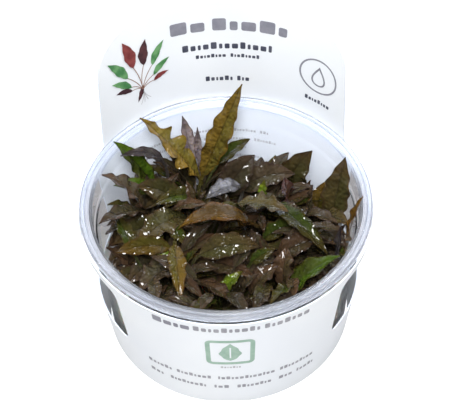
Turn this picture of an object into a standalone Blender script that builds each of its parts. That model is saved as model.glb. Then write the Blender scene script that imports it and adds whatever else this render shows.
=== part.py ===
"""Young Cryptocoryne wendtii plants in a clear tissue-culture cup with a white card sleeve.

A Blender 4.5 script in metres, +Z up: blender --background --python part.py builds the model.
The origin is the centre of the cup's flat base, which stands on the table. The cup's axis is +Z,
the front of the sleeve faces -Y, and its header card rises at +Y.
Sizes below are in millimetres, and MM turns them into metres.
"""

import math
from itertools import product
from typing import NamedTuple

import bmesh
import bpy
from mathutils import Matrix, Vector
from mathutils.bvhtree import BVHTree

MM = 0.001
GAP = 0.3  # left between neighbours that touch in the real thing

# Cup: a turned wall with a ledge for the lid, a flat flange and a bead round the mouth
CUP_STEPS = 32
CUP_HEIGHT = 57.0
CUP_WALL = 0.8
CUP_FLOOR = 1.2
BASE_RADIUS = 42.5
BASE_ROUND = 1.3
LEDGE_Z = 47.6
LEDGE_RISE = 0.9
LEDGE_RADIUS = 45.2
MOUTH_RADIUS = 45.4
FLANGE_TOP = 56.3
FLANGE_UNDERSIDE = 55.2
BEAD_WIDTH = 1.7
RIM_RADIUS = 49.7
RIM_ROUND = 0.45
RIM_UNDERSIDE = 54.95

# Sleeve: a straight cone of card, seen in plan as rings of growing radius
CARD = 0.45
SLEEVE_STEPS = 48
SLEEVE_RADIUS = 43.2  # inner radius on the table
SLEEVE_SLOPE = 0.125  # growth of the radius for each millimetre of height
SLEEVE_FRONT_TOP = 54.5
HEADER_TOP = 97.5
HEADER_HALF_WIDTH = 42.3
HEADER_CORNER = 13.0
HEADER_CROWN = 1.3  # how much higher the header's top edge is in the middle than at its corners
HEADER_CORNER_SWEEP = 78.0  # degrees of a header corner's arc, which stops short of level
HEADER_SHOULDER = (14.0, 0.2)  # half width and drop of the flattest stretch of the top edge
HEADER_FOOT_ROUND = 2.0
WINDOW_FRONT = 48.3  # degrees from the front to a window's front edge
WINDOW_REAR = 114.0
WINDOW_BOTTOM = 21.0
WINDOW_TOP = 50.5
WINDOW_ROUND = 3.5
CUT_RADII = (36.0, 60.0)  # a window's cutter reaches from inside the card to outside it
CUT_CLEAR = 20.0  # how far the other cutters reach past the card

# Growing gel in the bottom of the cup
GEL_STEPS = 24
GEL_TOP = 12.0
GEL_RADIUS = 41.2
GEL_MENISCUS = 0.7
GEL_MENISCUS_WIDTH = 3.0
GEL_CHAMFER = 1.4
GEL_DRAFT = 0.6

# Crowns: short rhizomes that stand on the gel, named by their place seen from the front
CROWN_SIDES = 8
CROWN_RADIUS = 2.5
CROWN_TAPER = 0.6  # its top radius over its bottom radius
CROWN_HEIGHT = 4.6
CROWNS = {
    "back_left": (-9.0, 28.0),
    "left": (-27.0, 13.0),
    "front_left": (-22.0, -13.0),
    "centre": (-9.0, 6.0),
    "back_right": (11.0, 17.0),
    "right_rear": (26.0, 20.0),
    "right": (33.0, -1.0),
    "front_right": (17.0, -15.0),
    "front": (-3.0, -23.0),
}

# Leaves: a flat petiole that widens into a lance-shaped blade folded along its midrib
PETIOLE_HALF_WIDTH = 0.65
TIP_HALF_WIDTH = 0.22
LEAF_THICKNESS = 0.45
LEAF_FOLD = 16.0  # degrees that each half of a blade rises from flat
LEAF_WIDEST = 0.40  # share of the blade's length at its widest place
LEAF_FULLNESS = 0.62  # power of the width's growth from the base: less is a fuller blade
LARGE_LEAF = 3.4  # half width from which a blade gets more sections
LARGE_STEPS = (2, 7)  # sections along the petiole and along the blade
SMALL_STEPS = (2, 4)
BASAL_STEPS = (1, 4)
STEM_RISE = 0.45  # share of a petiole's reach that it first goes straight up
STEM_RUN_IN = 0.35  # share of its reach that it runs in line with the blade at the end
STEM_LEAD = 0.2  # a petiole rises from the crown's side that faces this share of the blade behind its base
FACE_LEAN = 0.5  # how much a blade's upper face turns to its own crown
FOOT_RADIUS = CROWN_RADIUS + 2.0 * GAP + LEAF_THICKNESS
FOOT_Z = GEL_TOP + GAP


class Leaf(NamedTuple):
    """One leaf. base is where the blade starts, arch is how far its middle rises off a straight line."""

    name: str
    crown: str
    base: tuple
    tip: tuple
    arch: float
    half_width: float
    roll: float
    colour: str


COLOURS = {
    "golden": (0.20, 0.135, 0.012),
    "olive": (0.060, 0.048, 0.012),
    "brown": (0.055, 0.028, 0.014),
    "dark": (0.028, 0.018, 0.012),
    "green": (0.055, 0.110, 0.012),
    "lime": (0.130, 0.210, 0.015),
    "orange": (0.230, 0.095, 0.020),
    "purple": (0.110, 0.080, 0.085),
    "red": (0.070, 0.022, 0.018),
}

# Listed from the leaves that show most: each is moved clear of the ones above it
LEAVES = (
    Leaf("tall_gold", "back_left", (-8, 33, 33), (7, 40, 72), 0.0, 4.4, 35, "golden"),
    Leaf("left_gold", "back_left", (-10, 34, 32), (-29, 34, 63), 1.0, 4.8, 0, "golden"),
    Leaf("orange_fold", "back_right", (8, 2, 43), (-17, 0, 42), 6.0, 5.8, 0, "orange"),
    Leaf("right_olive", "right", (39, 9, 34), (43, 15, 60), 1.0, 5.2, 0, "olive"),
    Leaf("orange_right", "right", (41, -6, 40), (46, -3, 60), 1.0, 2.9, 0, "orange"),
    Leaf("long_green", "back_right", (17, 9, 43), (34, -14, 43), 3.0, 3.8, 0, "green"),
    Leaf("left_green", "left", (-26, 27, 35), (-38, 24, 62), 1.0, 3.8, 0, "green"),
    Leaf("bright_left", "left", (-25, 22, 36), (-39, 17, 47), 2.0, 3.2, 0, "green"),
    Leaf("left_brown", "left", (-29, 16, 36), (-42, 15, 55), 2.0, 5.0, 0, "brown"),
    Leaf("dark_left", "left", (-29, 17, 36), (-43, 2, 48), 2.0, 3.8, 0, "dark"),
    Leaf("big_green", "front_right", (20, -24, 35), (38, -17, 46), 3.0, 6.0, 0, "green"),
    Leaf("droop_gold", "centre", (-18, -7, 42), (-16, -31, 43), 2.0, 3.2, 0, "golden"),
    Leaf("olive_middle", "front", (-9, -12, 43), (11, -11, 45), 3.0, 4.6, 0, "olive"),
    Leaf("back_dark", "back_right", (0, 22, 34), (11, 32, 44), 2.0, 5.8, 0, "dark"),
    Leaf("back_dark_low", "back_right", (6, 25, 34), (25, 25, 41), 3.0, 5.2, 0, "dark"),
    Leaf("right_curl", "right_rear", (24, 24, 34), (32, 29, 48), 3.0, 5.4, 0, "olive"),
    Leaf("broad_green", "centre", (-15, 11, 36), (-31, -7, 43), 3.0, 5.6, 0, "olive"),
    Leaf("olive_left", "front_left", (-24, 11, 37), (-39, -2, 43), 2.0, 4.8, 0, "olive"),
    Leaf("lens_left", "front_left", (-20, -6, 40), (-38, -10, 43), 2.0, 3.8, 0, "golden"),
    Leaf("green_spear", "centre", (-11, 20, 37), (-25, 10, 44), 2.0, 3.0, 0, "green"),
    Leaf("silver", "centre", (5, 23, 38), (-7, 12, 44), 2.0, 3.6, 0, "purple"),
    Leaf("grey_olive", "back_right", (4, 12, 40), (21, 6, 42), 2.0, 5.2, 0, "olive"),
    Leaf("brown_long", "front", (-11, -12, 40), (9, -22, 42), 2.0, 3.8, 0, "brown"),
    Leaf("front_brown", "front", (-12, -18, 36), (3, -33, 40), 3.0, 4.6, 0, "brown"),
    Leaf("purple_spear", "back_left", (-12, 36, 38), (-15, 40, 58), 0.0, 2.9, 0, "purple"),
    Leaf("small_spear", "back_left", (-10, 36, 38), (-10, 39, 52), 0.0, 1.5, 0, "purple"),
    Leaf("brown_olive", "right", (32, 9, 36), (36, 16, 47), 2.0, 4.0, 0, "golden"),
    Leaf("dark_pointed", "right_rear", (30, 11, 36), (31, 15, 47), 1.0, 3.0, 0, "dark"),
    Leaf("reddish", "right_rear", (22, 15, 35), (21, 20, 45), 2.0, 4.6, 0, "red"),
    Leaf("grey_thin", "right_rear", (21, 25, 36), (26, 31, 44), 1.0, 2.2, 0, "purple"),
    Leaf("small_green", "front", (13, -3, 39), (25, 0, 43), 2.0, 3.5, 0, "green"),
    Leaf("brown_right", "front_right", (18, -9, 37), (32, -7, 43), 2.0, 4.4, 0, "brown"),
    Leaf("brown_orange", "front_right", (19, -20, 34), (21, -10, 43), 2.0, 4.6, 0, "brown"),
    Leaf("grey_brown", "front_right", (7, -24, 36), (17, -17, 42), 2.0, 4.4, 0, "brown"),
    Leaf("silver_right", "right", (37, -14, 40), (39, -7, 50), 1.0, 2.2, 0, "purple"),
    Leaf("arch_purple", "left", (-22, 32, 42), (-36, 26, 52), 3.0, 2.2, 0, "purple"),
    Leaf("olive_inner_left", "left", (-18, 21, 33), (-32, 20, 43), 2.0, 4.8, 0, "olive"),
    Leaf("dark_front_left", "front_left", (-18, -8, 34), (-30, -25, 40), 2.0, 5.4, 0, "dark"),
    Leaf("dark_front_edge", "front_left", (-24, -4, 32), (-34, -20, 38), 2.0, 4.4, 0, "dark"),
    Leaf("lens_low", "front_left", (-26, -9, 35), (-39, -12, 39), 2.0, 3.4, 0, "golden"),
    Leaf("lime_short", "front_left", (-18, -10, 42), (-27, -12, 45), 1.0, 2.0, 0, "lime"),
    Leaf("yellow_green", "front", (-3, -25, 37), (5, -20, 43), 1.0, 2.7, 0, "lime"),
    Leaf("lime_back", "back_right", (13, 16, 38), (14, 19, 45), 0.5, 2.0, 0, "lime"),
    Leaf("lime_middle", "front_right", (8, -14, 40), (16, -11, 43), 1.0, 2.4, 0, "lime"),
    Leaf("small_brown_left", "centre", (-34, 5, 32), (-41, -5, 40), 2.0, 3.6, 0, "brown"),
    Leaf("front_right_dark", "front_right", (12, -26, 34), (24, -31, 40), 2.0, 4.2, 0, "dark"),
    Leaf("right_dark", "right", (31, 4, 36), (41, -10, 42), 2.0, 4.6, 0, "dark"),
    Leaf("front_dark", "front", (-9, -24, 34), (-20, -33, 38), 2.0, 4.4, 0, "dark"),
)

# Small leaves grown on each crown, in and under the canopy: each takes the first clear one of these forms
BASAL_LEAVES = 4
BASAL_FOOT_RADIUS = 0.6
BASAL_STEM_SPREAD = 0.22  # how far out its petiole leans, as a share of its rise
BASAL_RISES = (11.0, 7.0, 3.0)  # how far above the crown a small blade starts
BASAL_HALF_WIDTH = 0.19  # share of the blade's length
BASAL_ARCH = 0.1  # share of the blade's length
BASAL_STEM_HALF_WIDTH = 0.45
BASAL_LENGTHS = (19.0, 16.0, 13.0, 10.0)
BASAL_TILTS = (28.0, 44.0, 12.0, 60.0)  # degrees above level
BASAL_TURNS = (0.0, 12.0, -12.0, 24.0, -24.0)  # degrees from an even spread round the crown
BASAL_PHASE = 37.0  # degrees that each crown is turned from the one before it

# How a leaf is moved clear of those placed before it: mostly along a slant, up and forward or down and
# back, which keeps its place as seen from the front and above, and a little to the sides of that slant
SLANT = Vector((0.0, -0.652, 0.758))
SLANT_REACH = 9
SIDE_STEPS = (0.0, 0.7, 1.4, 2.2, 3.2, 4.4)
SIDE_COST = 2.5


def collection(name):
    """Make a collection in the scene."""
    made = bpy.data.collections.new(name)
    bpy.context.scene.collection.children.link(made)
    return made


def material(name, colour, roughness, metallic=0.0):
    """Make a Principled material of one colour."""
    made = bpy.data.materials.new(name)
    made.use_nodes = True
    shader = made.node_tree.nodes["Principled BSDF"]
    shader.inputs["Base Color"].default_value = (*colour, 1.0)
    shader.inputs["Roughness"].default_value = roughness
    shader.inputs["Metallic"].default_value = metallic
    made.diffuse_color = (*colour, 1.0)
    return made


def add_mesh(name, verts, faces, into):
    """Make an object from points in millimetres, with every face turned outwards."""
    mesh = bpy.data.meshes.new(name)
    mesh.from_pydata([Vector(v) * MM for v in verts], [], faces)
    build = bmesh.new()
    build.from_mesh(mesh)
    bmesh.ops.recalc_face_normals(build, faces=build.faces)
    build.to_mesh(mesh)
    build.free()
    made = bpy.data.objects.new(name, mesh)
    into.objects.link(made)
    return made


def turned(name, profile, steps, into):
    """Turn a profile of (radius, height) points round +Z with a Screw modifier."""
    mesh = bpy.data.meshes.new(name)
    edges = [(i, i + 1) for i in range(len(profile) - 1)]
    mesh.from_pydata([(r * MM, 0.0, z * MM) for r, z in profile], edges, [])
    made = bpy.data.objects.new(name, mesh)
    into.objects.link(made)
    screw = made.modifiers.new("turn", "SCREW")
    screw.axis = "Z"
    screw.angle = math.tau
    screw.steps = steps
    screw.render_steps = steps
    screw.use_merge_vertices = True
    screw.merge_threshold = 0.00001
    return made


def apply_modifiers(thing):
    """Put an object's evaluated shape in its mesh and drop its modifiers."""
    bpy.context.view_layer.update()
    shape = bpy.data.meshes.new_from_object(thing.evaluated_get(bpy.context.evaluated_depsgraph_get()))
    thing.modifiers.clear()
    thing.data = shape


def combine(thing, other, operation):
    """Cut an object with another, or join the other to it."""
    step = thing.modifiers.new(operation.lower(), "BOOLEAN")
    step.operation = operation
    step.object = other
    step.solver = "EXACT"


def as_cutter(thing):
    """Mark an object as a cutter that is no part of the model."""
    thing.hide_render = True
    thing.display_type = "WIRE"
    return thing


def round_corner(centre, radius, start, end, steps):
    """Points on an arc in the plane, from one angle in degrees to another."""
    angles = [math.radians(start + (end - start) * i / steps) for i in range(steps + 1)]
    return [(centre[0] + radius * math.cos(a), centre[1] + radius * math.sin(a)) for a in angles]


def make_cup(into):
    """The clear cup: floor, tapered wall, lid ledge, flange and bead as one turned solid."""
    inner_base = BASE_RADIUS - CUP_WALL
    groove = RIM_RADIUS - BEAD_WIDTH
    profile = [
        (0.0, CUP_FLOOR),
        (inner_base - BASE_ROUND, CUP_FLOOR),
        (inner_base, CUP_FLOOR + BASE_ROUND),
        (LEDGE_RADIUS - LEDGE_RISE, LEDGE_Z),
        (LEDGE_RADIUS, LEDGE_Z + LEDGE_RISE),
        (MOUTH_RADIUS, FLANGE_TOP - RIM_ROUND),
        (MOUTH_RADIUS + RIM_ROUND, FLANGE_TOP),
        (groove - RIM_ROUND, FLANGE_TOP),
        (groove, CUP_HEIGHT - 0.1),
        (RIM_RADIUS - RIM_ROUND, CUP_HEIGHT),
        (RIM_RADIUS, CUP_HEIGHT - RIM_ROUND),
        (RIM_RADIUS, RIM_UNDERSIDE),
        (RIM_RADIUS - CUP_WALL, RIM_UNDERSIDE),
        (RIM_RADIUS - CUP_WALL, FLANGE_UNDERSIDE),
        (MOUTH_RADIUS + CUP_WALL, FLANGE_UNDERSIDE),
        (LEDGE_RADIUS + CUP_WALL, LEDGE_Z + LEDGE_RISE - CUP_WALL),
        (LEDGE_RADIUS - LEDGE_RISE + CUP_WALL, LEDGE_Z - CUP_WALL),
        (BASE_RADIUS, BASE_ROUND),
        (BASE_RADIUS - BASE_ROUND, 0.0),
        (0.0, 0.0),
    ]
    return turned("cup", profile, CUP_STEPS, into)


def make_gel(into):
    """The puck of growing gel, a little higher where it wets the wall."""
    bottom = CUP_FLOOR + GAP
    foot = GEL_RADIUS - GEL_DRAFT
    profile = [
        (0.0, GEL_TOP),
        (GEL_RADIUS - GEL_MENISCUS_WIDTH, GEL_TOP),
        (GEL_RADIUS, GEL_TOP + GEL_MENISCUS),
        (foot, bottom + GEL_CHAMFER),
        (foot - GEL_CHAMFER, bottom),
        (0.0, bottom),
    ]
    return turned("growing_gel", profile, GEL_STEPS, into)


def header_outline():
    """Outline in the XZ plane of what is cut away round the header card, at the back half of the cone."""
    half, top, foot = HEADER_HALF_WIDTH, HEADER_TOP - HEADER_CROWN, SLEEVE_FRONT_TOP
    clear, above = RIM_RADIUS + CUT_CLEAR, HEADER_TOP + CUT_CLEAR
    centre = (half - HEADER_CORNER, top - HEADER_CORNER)
    corner = round_corner(centre, HEADER_CORNER, 0.0, HEADER_CORNER_SWEEP, 7)
    centre = (half + HEADER_FOOT_ROUND, foot + HEADER_FOOT_ROUND)
    foot_round = round_corner(centre, HEADER_FOOT_ROUND, 270.0, 180.0, 3)
    shoulder = (HEADER_SHOULDER[0], HEADER_TOP - HEADER_SHOULDER[1])
    right = [(clear, foot), *foot_round, *corner, shoulder]
    left = [(-x, z) for x, z in reversed(right)]
    return [*right, (0.0, HEADER_TOP), *left, (-clear, above), (clear, above)]


def prism(name, outline, depth_from, depth_to, into):
    """Extrude an outline of (x, z) points along Y."""
    count = len(outline)
    verts = [(x, depth, z) for depth in (depth_from, depth_to) for x, z in outline]
    sides = [(i, (i + 1) % count, count + (i + 1) % count, count + i) for i in range(count)]
    faces = [tuple(range(count)), tuple(range(count, 2 * count)), *sides]
    return as_cutter(add_mesh(name, verts, faces, into))


def window_cutter(name, side, into):
    """A block swept round the axis through one side window, with round corners. side is 1 or -1."""
    build = bmesh.new()
    start = math.radians(-90.0 + side * WINDOW_FRONT)
    sweep = math.radians(side * (WINDOW_REAR - WINDOW_FRONT))
    way = Vector((math.cos(start), math.sin(start), 0.0))
    inner, outer = (way * radius for radius in CUT_RADII)
    bottom, top = Vector((0, 0, WINDOW_BOTTOM)), Vector((0, 0, WINDOW_TOP))
    corners = [inner + bottom, outer + bottom, outer + top, inner + top]
    face = build.faces.new([build.verts.new(corner * MM) for corner in corners])
    geom = [face, *face.edges, *face.verts]
    bmesh.ops.spin(build, geom=geom, cent=(0, 0, 0), axis=(0, 0, 1), angle=sweep, steps=10)
    bmesh.ops.remove_doubles(build, verts=build.verts, dist=0.00001)
    ends = []
    for edge in build.edges:
        a, b = (v.co for v in edge.verts)
        radial = abs(a.z - b.z) < 1e-6 and abs(a.xy.length - b.xy.length) > 0.01
        azimuth = math.degrees(abs(math.atan2(a.x, -a.y)))
        if radial and min(abs(azimuth - WINDOW_FRONT), abs(azimuth - WINDOW_REAR)) < 0.1:
            ends.append(edge)
    corner = WINDOW_ROUND * MM
    bmesh.ops.bevel(build, geom=ends, offset=corner, segments=3, profile=0.5, affect="EDGES")
    bmesh.ops.recalc_face_normals(build, faces=build.faces)
    mesh = bpy.data.meshes.new(name)
    build.to_mesh(mesh)
    build.free()
    made = bpy.data.objects.new(name, mesh)
    into.objects.link(made)
    return as_cutter(made)


def make_sleeve(into, cutters):
    """The card: a cone of card cut to the front's height, the header's outline and the two windows."""
    height = HEADER_TOP + CUT_CLEAR / 4.0
    outer = SLEEVE_RADIUS + CARD
    bpy.ops.mesh.primitive_cone_add(
        vertices=SLEEVE_STEPS,
        radius1=outer * MM,
        radius2=(outer + SLEEVE_SLOPE * height) * MM,
        depth=height * MM,
        end_fill_type="NOTHING",
        location=(0.0, 0.0, height / 2.0 * MM),
    )
    sleeve = bpy.context.object
    sleeve.name = sleeve.data.name = "sleeve"
    for old in tuple(sleeve.users_collection):
        old.objects.unlink(sleeve)
    into.objects.link(sleeve)
    card = sleeve.modifiers.new("card", "SOLIDIFY")
    card.thickness = CARD * MM
    card.offset = -1.0
    side, above = RIM_RADIUS + CUT_CLEAR, HEADER_TOP + CUT_CLEAR
    front = [(-side, SLEEVE_FRONT_TOP), (side, SLEEVE_FRONT_TOP), (side, above), (-side, above)]
    seam = -0.01  # the header's cutter starts a little before the front's cutter ends
    combine(sleeve, prism("cut_front", front, -side, 0.0, cutters), "DIFFERENCE")
    combine(sleeve, prism("cut_header", header_outline(), seam, side, cutters), "DIFFERENCE")
    combine(sleeve, window_cutter("cut_window_right", 1, cutters), "DIFFERENCE")
    combine(sleeve, window_cutter("cut_window_left", -1, cutters), "DIFFERENCE")
    apply_modifiers(sleeve)
    return sleeve


def bezier(points, t):
    """A point on the Bezier curve with the given control points."""
    while len(points) > 1:
        points = [a.lerp(b, t) for a, b in zip(points, points[1:])]
    return points[0]


def blade_half_width(share, half_width):
    """Half width along a lance-shaped blade: a power of the way from its base times one from its tip."""
    tip_power = LEAF_FULLNESS * (1.0 - LEAF_WIDEST) / LEAF_WIDEST
    from_base = (max(share, 0.0) / LEAF_WIDEST) ** LEAF_FULLNESS
    from_tip = (max(1.0 - share, 0.0) / (1.0 - LEAF_WIDEST)) ** tip_power
    return half_width * from_base * from_tip


def leaf_stations(foot, base, tip, arch, half_width, stem_half_width, steps):
    """Centre, direction and half width of each section of a leaf, from its foot to its tip."""
    chord = tip - base
    lift = Vector((0, 0, 1)) - chord * (chord.z / chord.length_squared)
    middle = (base + tip) / 2.0 + lift.normalized() * (2.0 * arch)
    blade = [base, middle, tip]
    reach = (base - foot).length
    start = (middle - base).normalized()
    up = foot + Vector((0, 0, STEM_RISE * reach))
    stem = [foot, up, base - start * (STEM_RUN_IN * reach), base]
    stem_steps, blade_steps = steps
    marks = [(stem, i / stem_steps) for i in range(stem_steps)]
    marks += [(blade, i / blade_steps) for i in range(blade_steps + 1)]
    step = 0.01
    stations = []
    for curve, t in marks:
        ahead = bezier(curve, min(t + step, 1.0))
        direction = (ahead - bezier(curve, max(t - step, 0.0))).normalized()
        width = stem_half_width
        if curve is blade:
            least = stem_half_width + (TIP_HALF_WIDTH - stem_half_width) * t
            width = max(least, blade_half_width(t, half_width))
        stations.append((bezier(curve, t), direction, width))
    return stations


def leaf_solid(foot, base, tip, arch, half_width, roll, crown, margin=0.0, basal=False):
    """Loft the leaf's V-shaped sections into a closed solid, margin thicker all round for clearance."""
    stem, steps = PETIOLE_HALF_WIDTH, SMALL_STEPS
    if basal:
        stem, steps = BASAL_STEM_HALF_WIDTH, BASAL_STEPS
    elif half_width >= LARGE_LEAF:
        steps = LARGE_STEPS
    outward = (base + tip) / 2.0 - crown
    outward.z = 0.0
    face = Vector((0, 0, 1)) - outward.normalized() * FACE_LEAN
    thick = LEAF_THICKNESS / 2.0 + margin
    fold = math.radians(LEAF_FOLD)
    verts, faces = [], []
    for centre, direction, width in leaf_stations(foot, base, tip, arch, half_width, stem, steps):
        side = direction.cross(face).normalized()
        side = Matrix.Rotation(math.radians(roll), 3, direction) @ side
        normal = side.cross(direction)
        reach = (width + margin) * math.cos(fold)
        rise = normal * (width * math.sin(fold))
        ridge = [centre - side * reach + rise, centre, centre + side * reach + rise]
        verts += [p + normal * thick for p in ridge] + [p - normal * thick for p in reversed(ridge)]
    loop = 6
    rings = len(verts) // loop
    for ring in range(rings - 1):
        for i in range(loop):
            a, b = ring * loop + i, ring * loop + (i + 1) % loop
            faces.append((a, b, b + loop, a + loop))
    last = (rings - 1) * loop
    for start in (0, last):
        faces += [(start, start + 1, start + 4, start + 5), (start + 1, start + 2, start + 3, start + 4)]
    return verts, faces


def tree(verts, faces):
    """A search tree of a solid's faces, in millimetres."""
    return BVHTree.FromPolygons([Vector(v) for v in verts], faces)


def object_tree(thing):
    """A search tree of an object's evaluated faces, in millimetres."""
    bpy.context.view_layer.update()
    mesh = thing.evaluated_get(bpy.context.evaluated_depsgraph_get()).to_mesh()
    return tree([v.co / MM for v in mesh.vertices], [tuple(p.vertices) for p in mesh.polygons])


def clear_offsets():
    """Offsets to try for a leaf, nearest first. A step to the side counts more than one on the slant."""
    across = SLANT.cross(Vector((1, 0, 0)))
    tries = []
    for step in range(-SLANT_REACH, SLANT_REACH + 1):
        for reach in SIDE_STEPS:
            for turn in range(8 if reach else 1):
                angle = math.radians(45.0 * turn)
                side = Vector((1, 0, 0)) * math.cos(angle) + across * math.sin(angle)
                tries.append((abs(step) + SIDE_COST * reach, len(tries), SLANT * step + side * reach))
    return [offset for _, _, offset in sorted(tries, key=lambda row: row[:2])]


def petiole_feet(leaves):
    """Where each leaf of one crown starts: evenly round it, in the order of the leaves' directions."""
    centre = Vector((*CROWNS[leaves[0].crown], 0.0))
    headings = {}
    for leaf in leaves:
        base = Vector(leaf.base)
        way = base - (Vector(leaf.tip) - base) * STEM_LEAD - centre
        headings[leaf.name] = math.atan2(way.y, way.x)
    order = sorted(headings, key=headings.get)
    slot = math.tau / len(order)
    lags = [headings[name] - i * slot for i, name in enumerate(order)]
    start = math.atan2(sum(math.sin(a) for a in lags), sum(math.cos(a) for a in lags))
    feet = {}
    for i, name in enumerate(order):
        angle = start + i * slot
        way = Vector((math.cos(angle), math.sin(angle), 0.0))
        feet[name] = centre + way * FOOT_RADIUS + Vector((0, 0, FOOT_Z))
    return feet


def place_leaf(leaf, foot, placed):
    """Move a leaf's blade until the leaf is clear of what is placed already. Its foot stays."""
    crown = Vector((*CROWNS[leaf.crown], 0.0))
    shape = (leaf.arch, leaf.half_width, leaf.roll, crown)
    for offset in clear_offsets():
        base, tip = Vector(leaf.base) + offset, Vector(leaf.tip) + offset
        wide = tree(*leaf_solid(foot, base, tip, *shape, margin=GAP))
        if not any(wide.overlap(other) for other in placed.values()):
            return leaf_solid(foot, base, tip, *shape)
    raise ValueError(f"no clear place for leaf {leaf.name}")


def make_leaves(into, placed):
    """Every leaf of the canopy, each its own solid beside its crown."""
    feet = {}
    for crown in CROWNS:
        feet.update(petiole_feet([leaf for leaf in LEAVES if leaf.crown == crown]))
    finishes = {name: material(f"leaf_{name}", colour, 0.32) for name, colour in COLOURS.items()}
    for leaf in LEAVES:
        solid = place_leaf(leaf, feet[leaf.name], placed)
        made = add_mesh(f"leaf_{leaf.name}", *solid, into)
        made.data.materials.append(finishes[leaf.colour])
        placed[leaf.name] = tree(*solid)


def make_stub(name, place, into):
    """The short tapered rhizome of a crown."""
    build = bmesh.new()
    middle = Vector((*place, GEL_TOP + GAP + CROWN_HEIGHT / 2.0))
    bmesh.ops.create_cone(
        build,
        cap_ends=True,
        segments=CROWN_SIDES,
        radius1=CROWN_RADIUS * MM,
        radius2=CROWN_RADIUS * CROWN_TAPER * MM,
        depth=CROWN_HEIGHT * MM,
        matrix=Matrix.Translation(middle * MM),
    )
    mesh = bpy.data.meshes.new(name)
    build.to_mesh(mesh)
    build.free()
    stub = bpy.data.objects.new(name, mesh)
    into.objects.link(stub)
    return stub


def basal_forms(centre, azimuth):
    """The forms that one small leaf of a crown may take: foot, base, tip, arch, half width and roll."""
    up = Vector((0, 0, 1))
    crown_top = GEL_TOP + CROWN_HEIGHT
    for length, rise, tilt, turn in product(BASAL_LENGTHS, BASAL_RISES, BASAL_TILTS, BASAL_TURNS):
        slope = math.radians(tilt)
        heading = math.radians(azimuth + turn)
        way = Vector((math.cos(heading), math.sin(heading), 0.0))
        foot = centre + way * BASAL_FOOT_RADIUS + up * (GEL_TOP + CROWN_HEIGHT / 2.0)
        base = centre + way * (FOOT_RADIUS + BASAL_STEM_SPREAD * rise) + up * (crown_top + rise)
        tip = base + (way * math.cos(slope) + up * math.sin(slope)) * length
        yield foot, base, tip, BASAL_ARCH * length, BASAL_HALF_WIDTH * length, 0.0


def basal_solids(number, centre, others):
    """The small leaves of one crown, each clear of what is no part of that crown."""
    solids = []
    for slot in range(BASAL_LEAVES):
        azimuth = slot * 360.0 / BASAL_LEAVES + BASAL_PHASE * number
        for form in basal_forms(centre, azimuth):
            wide = tree(*leaf_solid(*form, centre, margin=GAP, basal=True))
            if not any(wide.overlap(other) for other in others):
                solids.append(leaf_solid(*form, centre, basal=True))
                break
    return solids


def grow_basal_leaves(number, crown, place, cutters, placed):
    """Fuse its small leaves to a crown."""
    others = [shape for name, shape in placed.items() if name != crown.name]
    for count, solid in enumerate(basal_solids(number, Vector((*place, 0.0)), others)):
        name = f"{crown.name}_leaf_{count + 1}"
        combine(crown, as_cutter(add_mesh(name, *solid, cutters)), "UNION")
        placed[name] = tree(*solid)
    apply_modifiers(crown)


def main():
    """Build the cup, sleeve, gel, leaves and crowns."""
    for thing in tuple(bpy.data.objects):
        bpy.data.objects.remove(thing)
    parts = collection("cryptocoryne_wendtii")
    cutters = collection("cutters")
    cup = make_cup(parts)
    cup.data.materials.append(material("clear_plastic", (0.82, 0.85, 0.88), 0.12))
    gel = make_gel(parts)
    gel.data.materials.append(material("growing_gel", (0.62, 0.58, 0.44), 0.25))
    sleeve = make_sleeve(parts, cutters)
    sleeve.data.materials.append(material("white_card", (0.86, 0.88, 0.91), 0.6))
    crowns = {name: make_stub(f"crown_{name}", place, parts) for name, place in CROWNS.items()}
    placed = {thing.name: object_tree(thing) for thing in (cup, gel, sleeve, *crowns.values())}
    make_leaves(parts, placed)
    rhizome = material("rhizome", (0.16, 0.15, 0.05), 0.5)
    for number, (name, place) in enumerate(CROWNS.items()):
        grow_basal_leaves(number, crowns[name], place, cutters, placed)
        crowns[name].data.materials.clear()
        crowns[name].data.materials.append(rhizome)
    for thing in parts.objects:
        thing.data.shade_smooth()
        thing.data.set_sharp_from_angle(angle=math.radians(35.0))


main()
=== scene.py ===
"""Looks of young Cryptocoryne wendtii plants in a clear tissue-culture cup with a white card sleeve.

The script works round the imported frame, in the frame's own place: the origin is the centre of the cup's
flat base, +Z is up, the front of the sleeve faces -Y and its header card rises at +Y. Sizes are in
millimetres, and MeshPlan turns them into metres. The way round the card is measured from the back (+Y)
towards +X, and a leaf's heading from +X towards +Y.
"""

import logging
import math
from collections.abc import Iterator
from dataclasses import dataclass, replace
from enum import Enum
from itertools import product

import bpy
import numpy as np
from mathutils import Matrix, Vector
from mathutils.bvhtree import BVHTree
from mathutils.geometry import delaunay_2d_cdt


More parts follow.
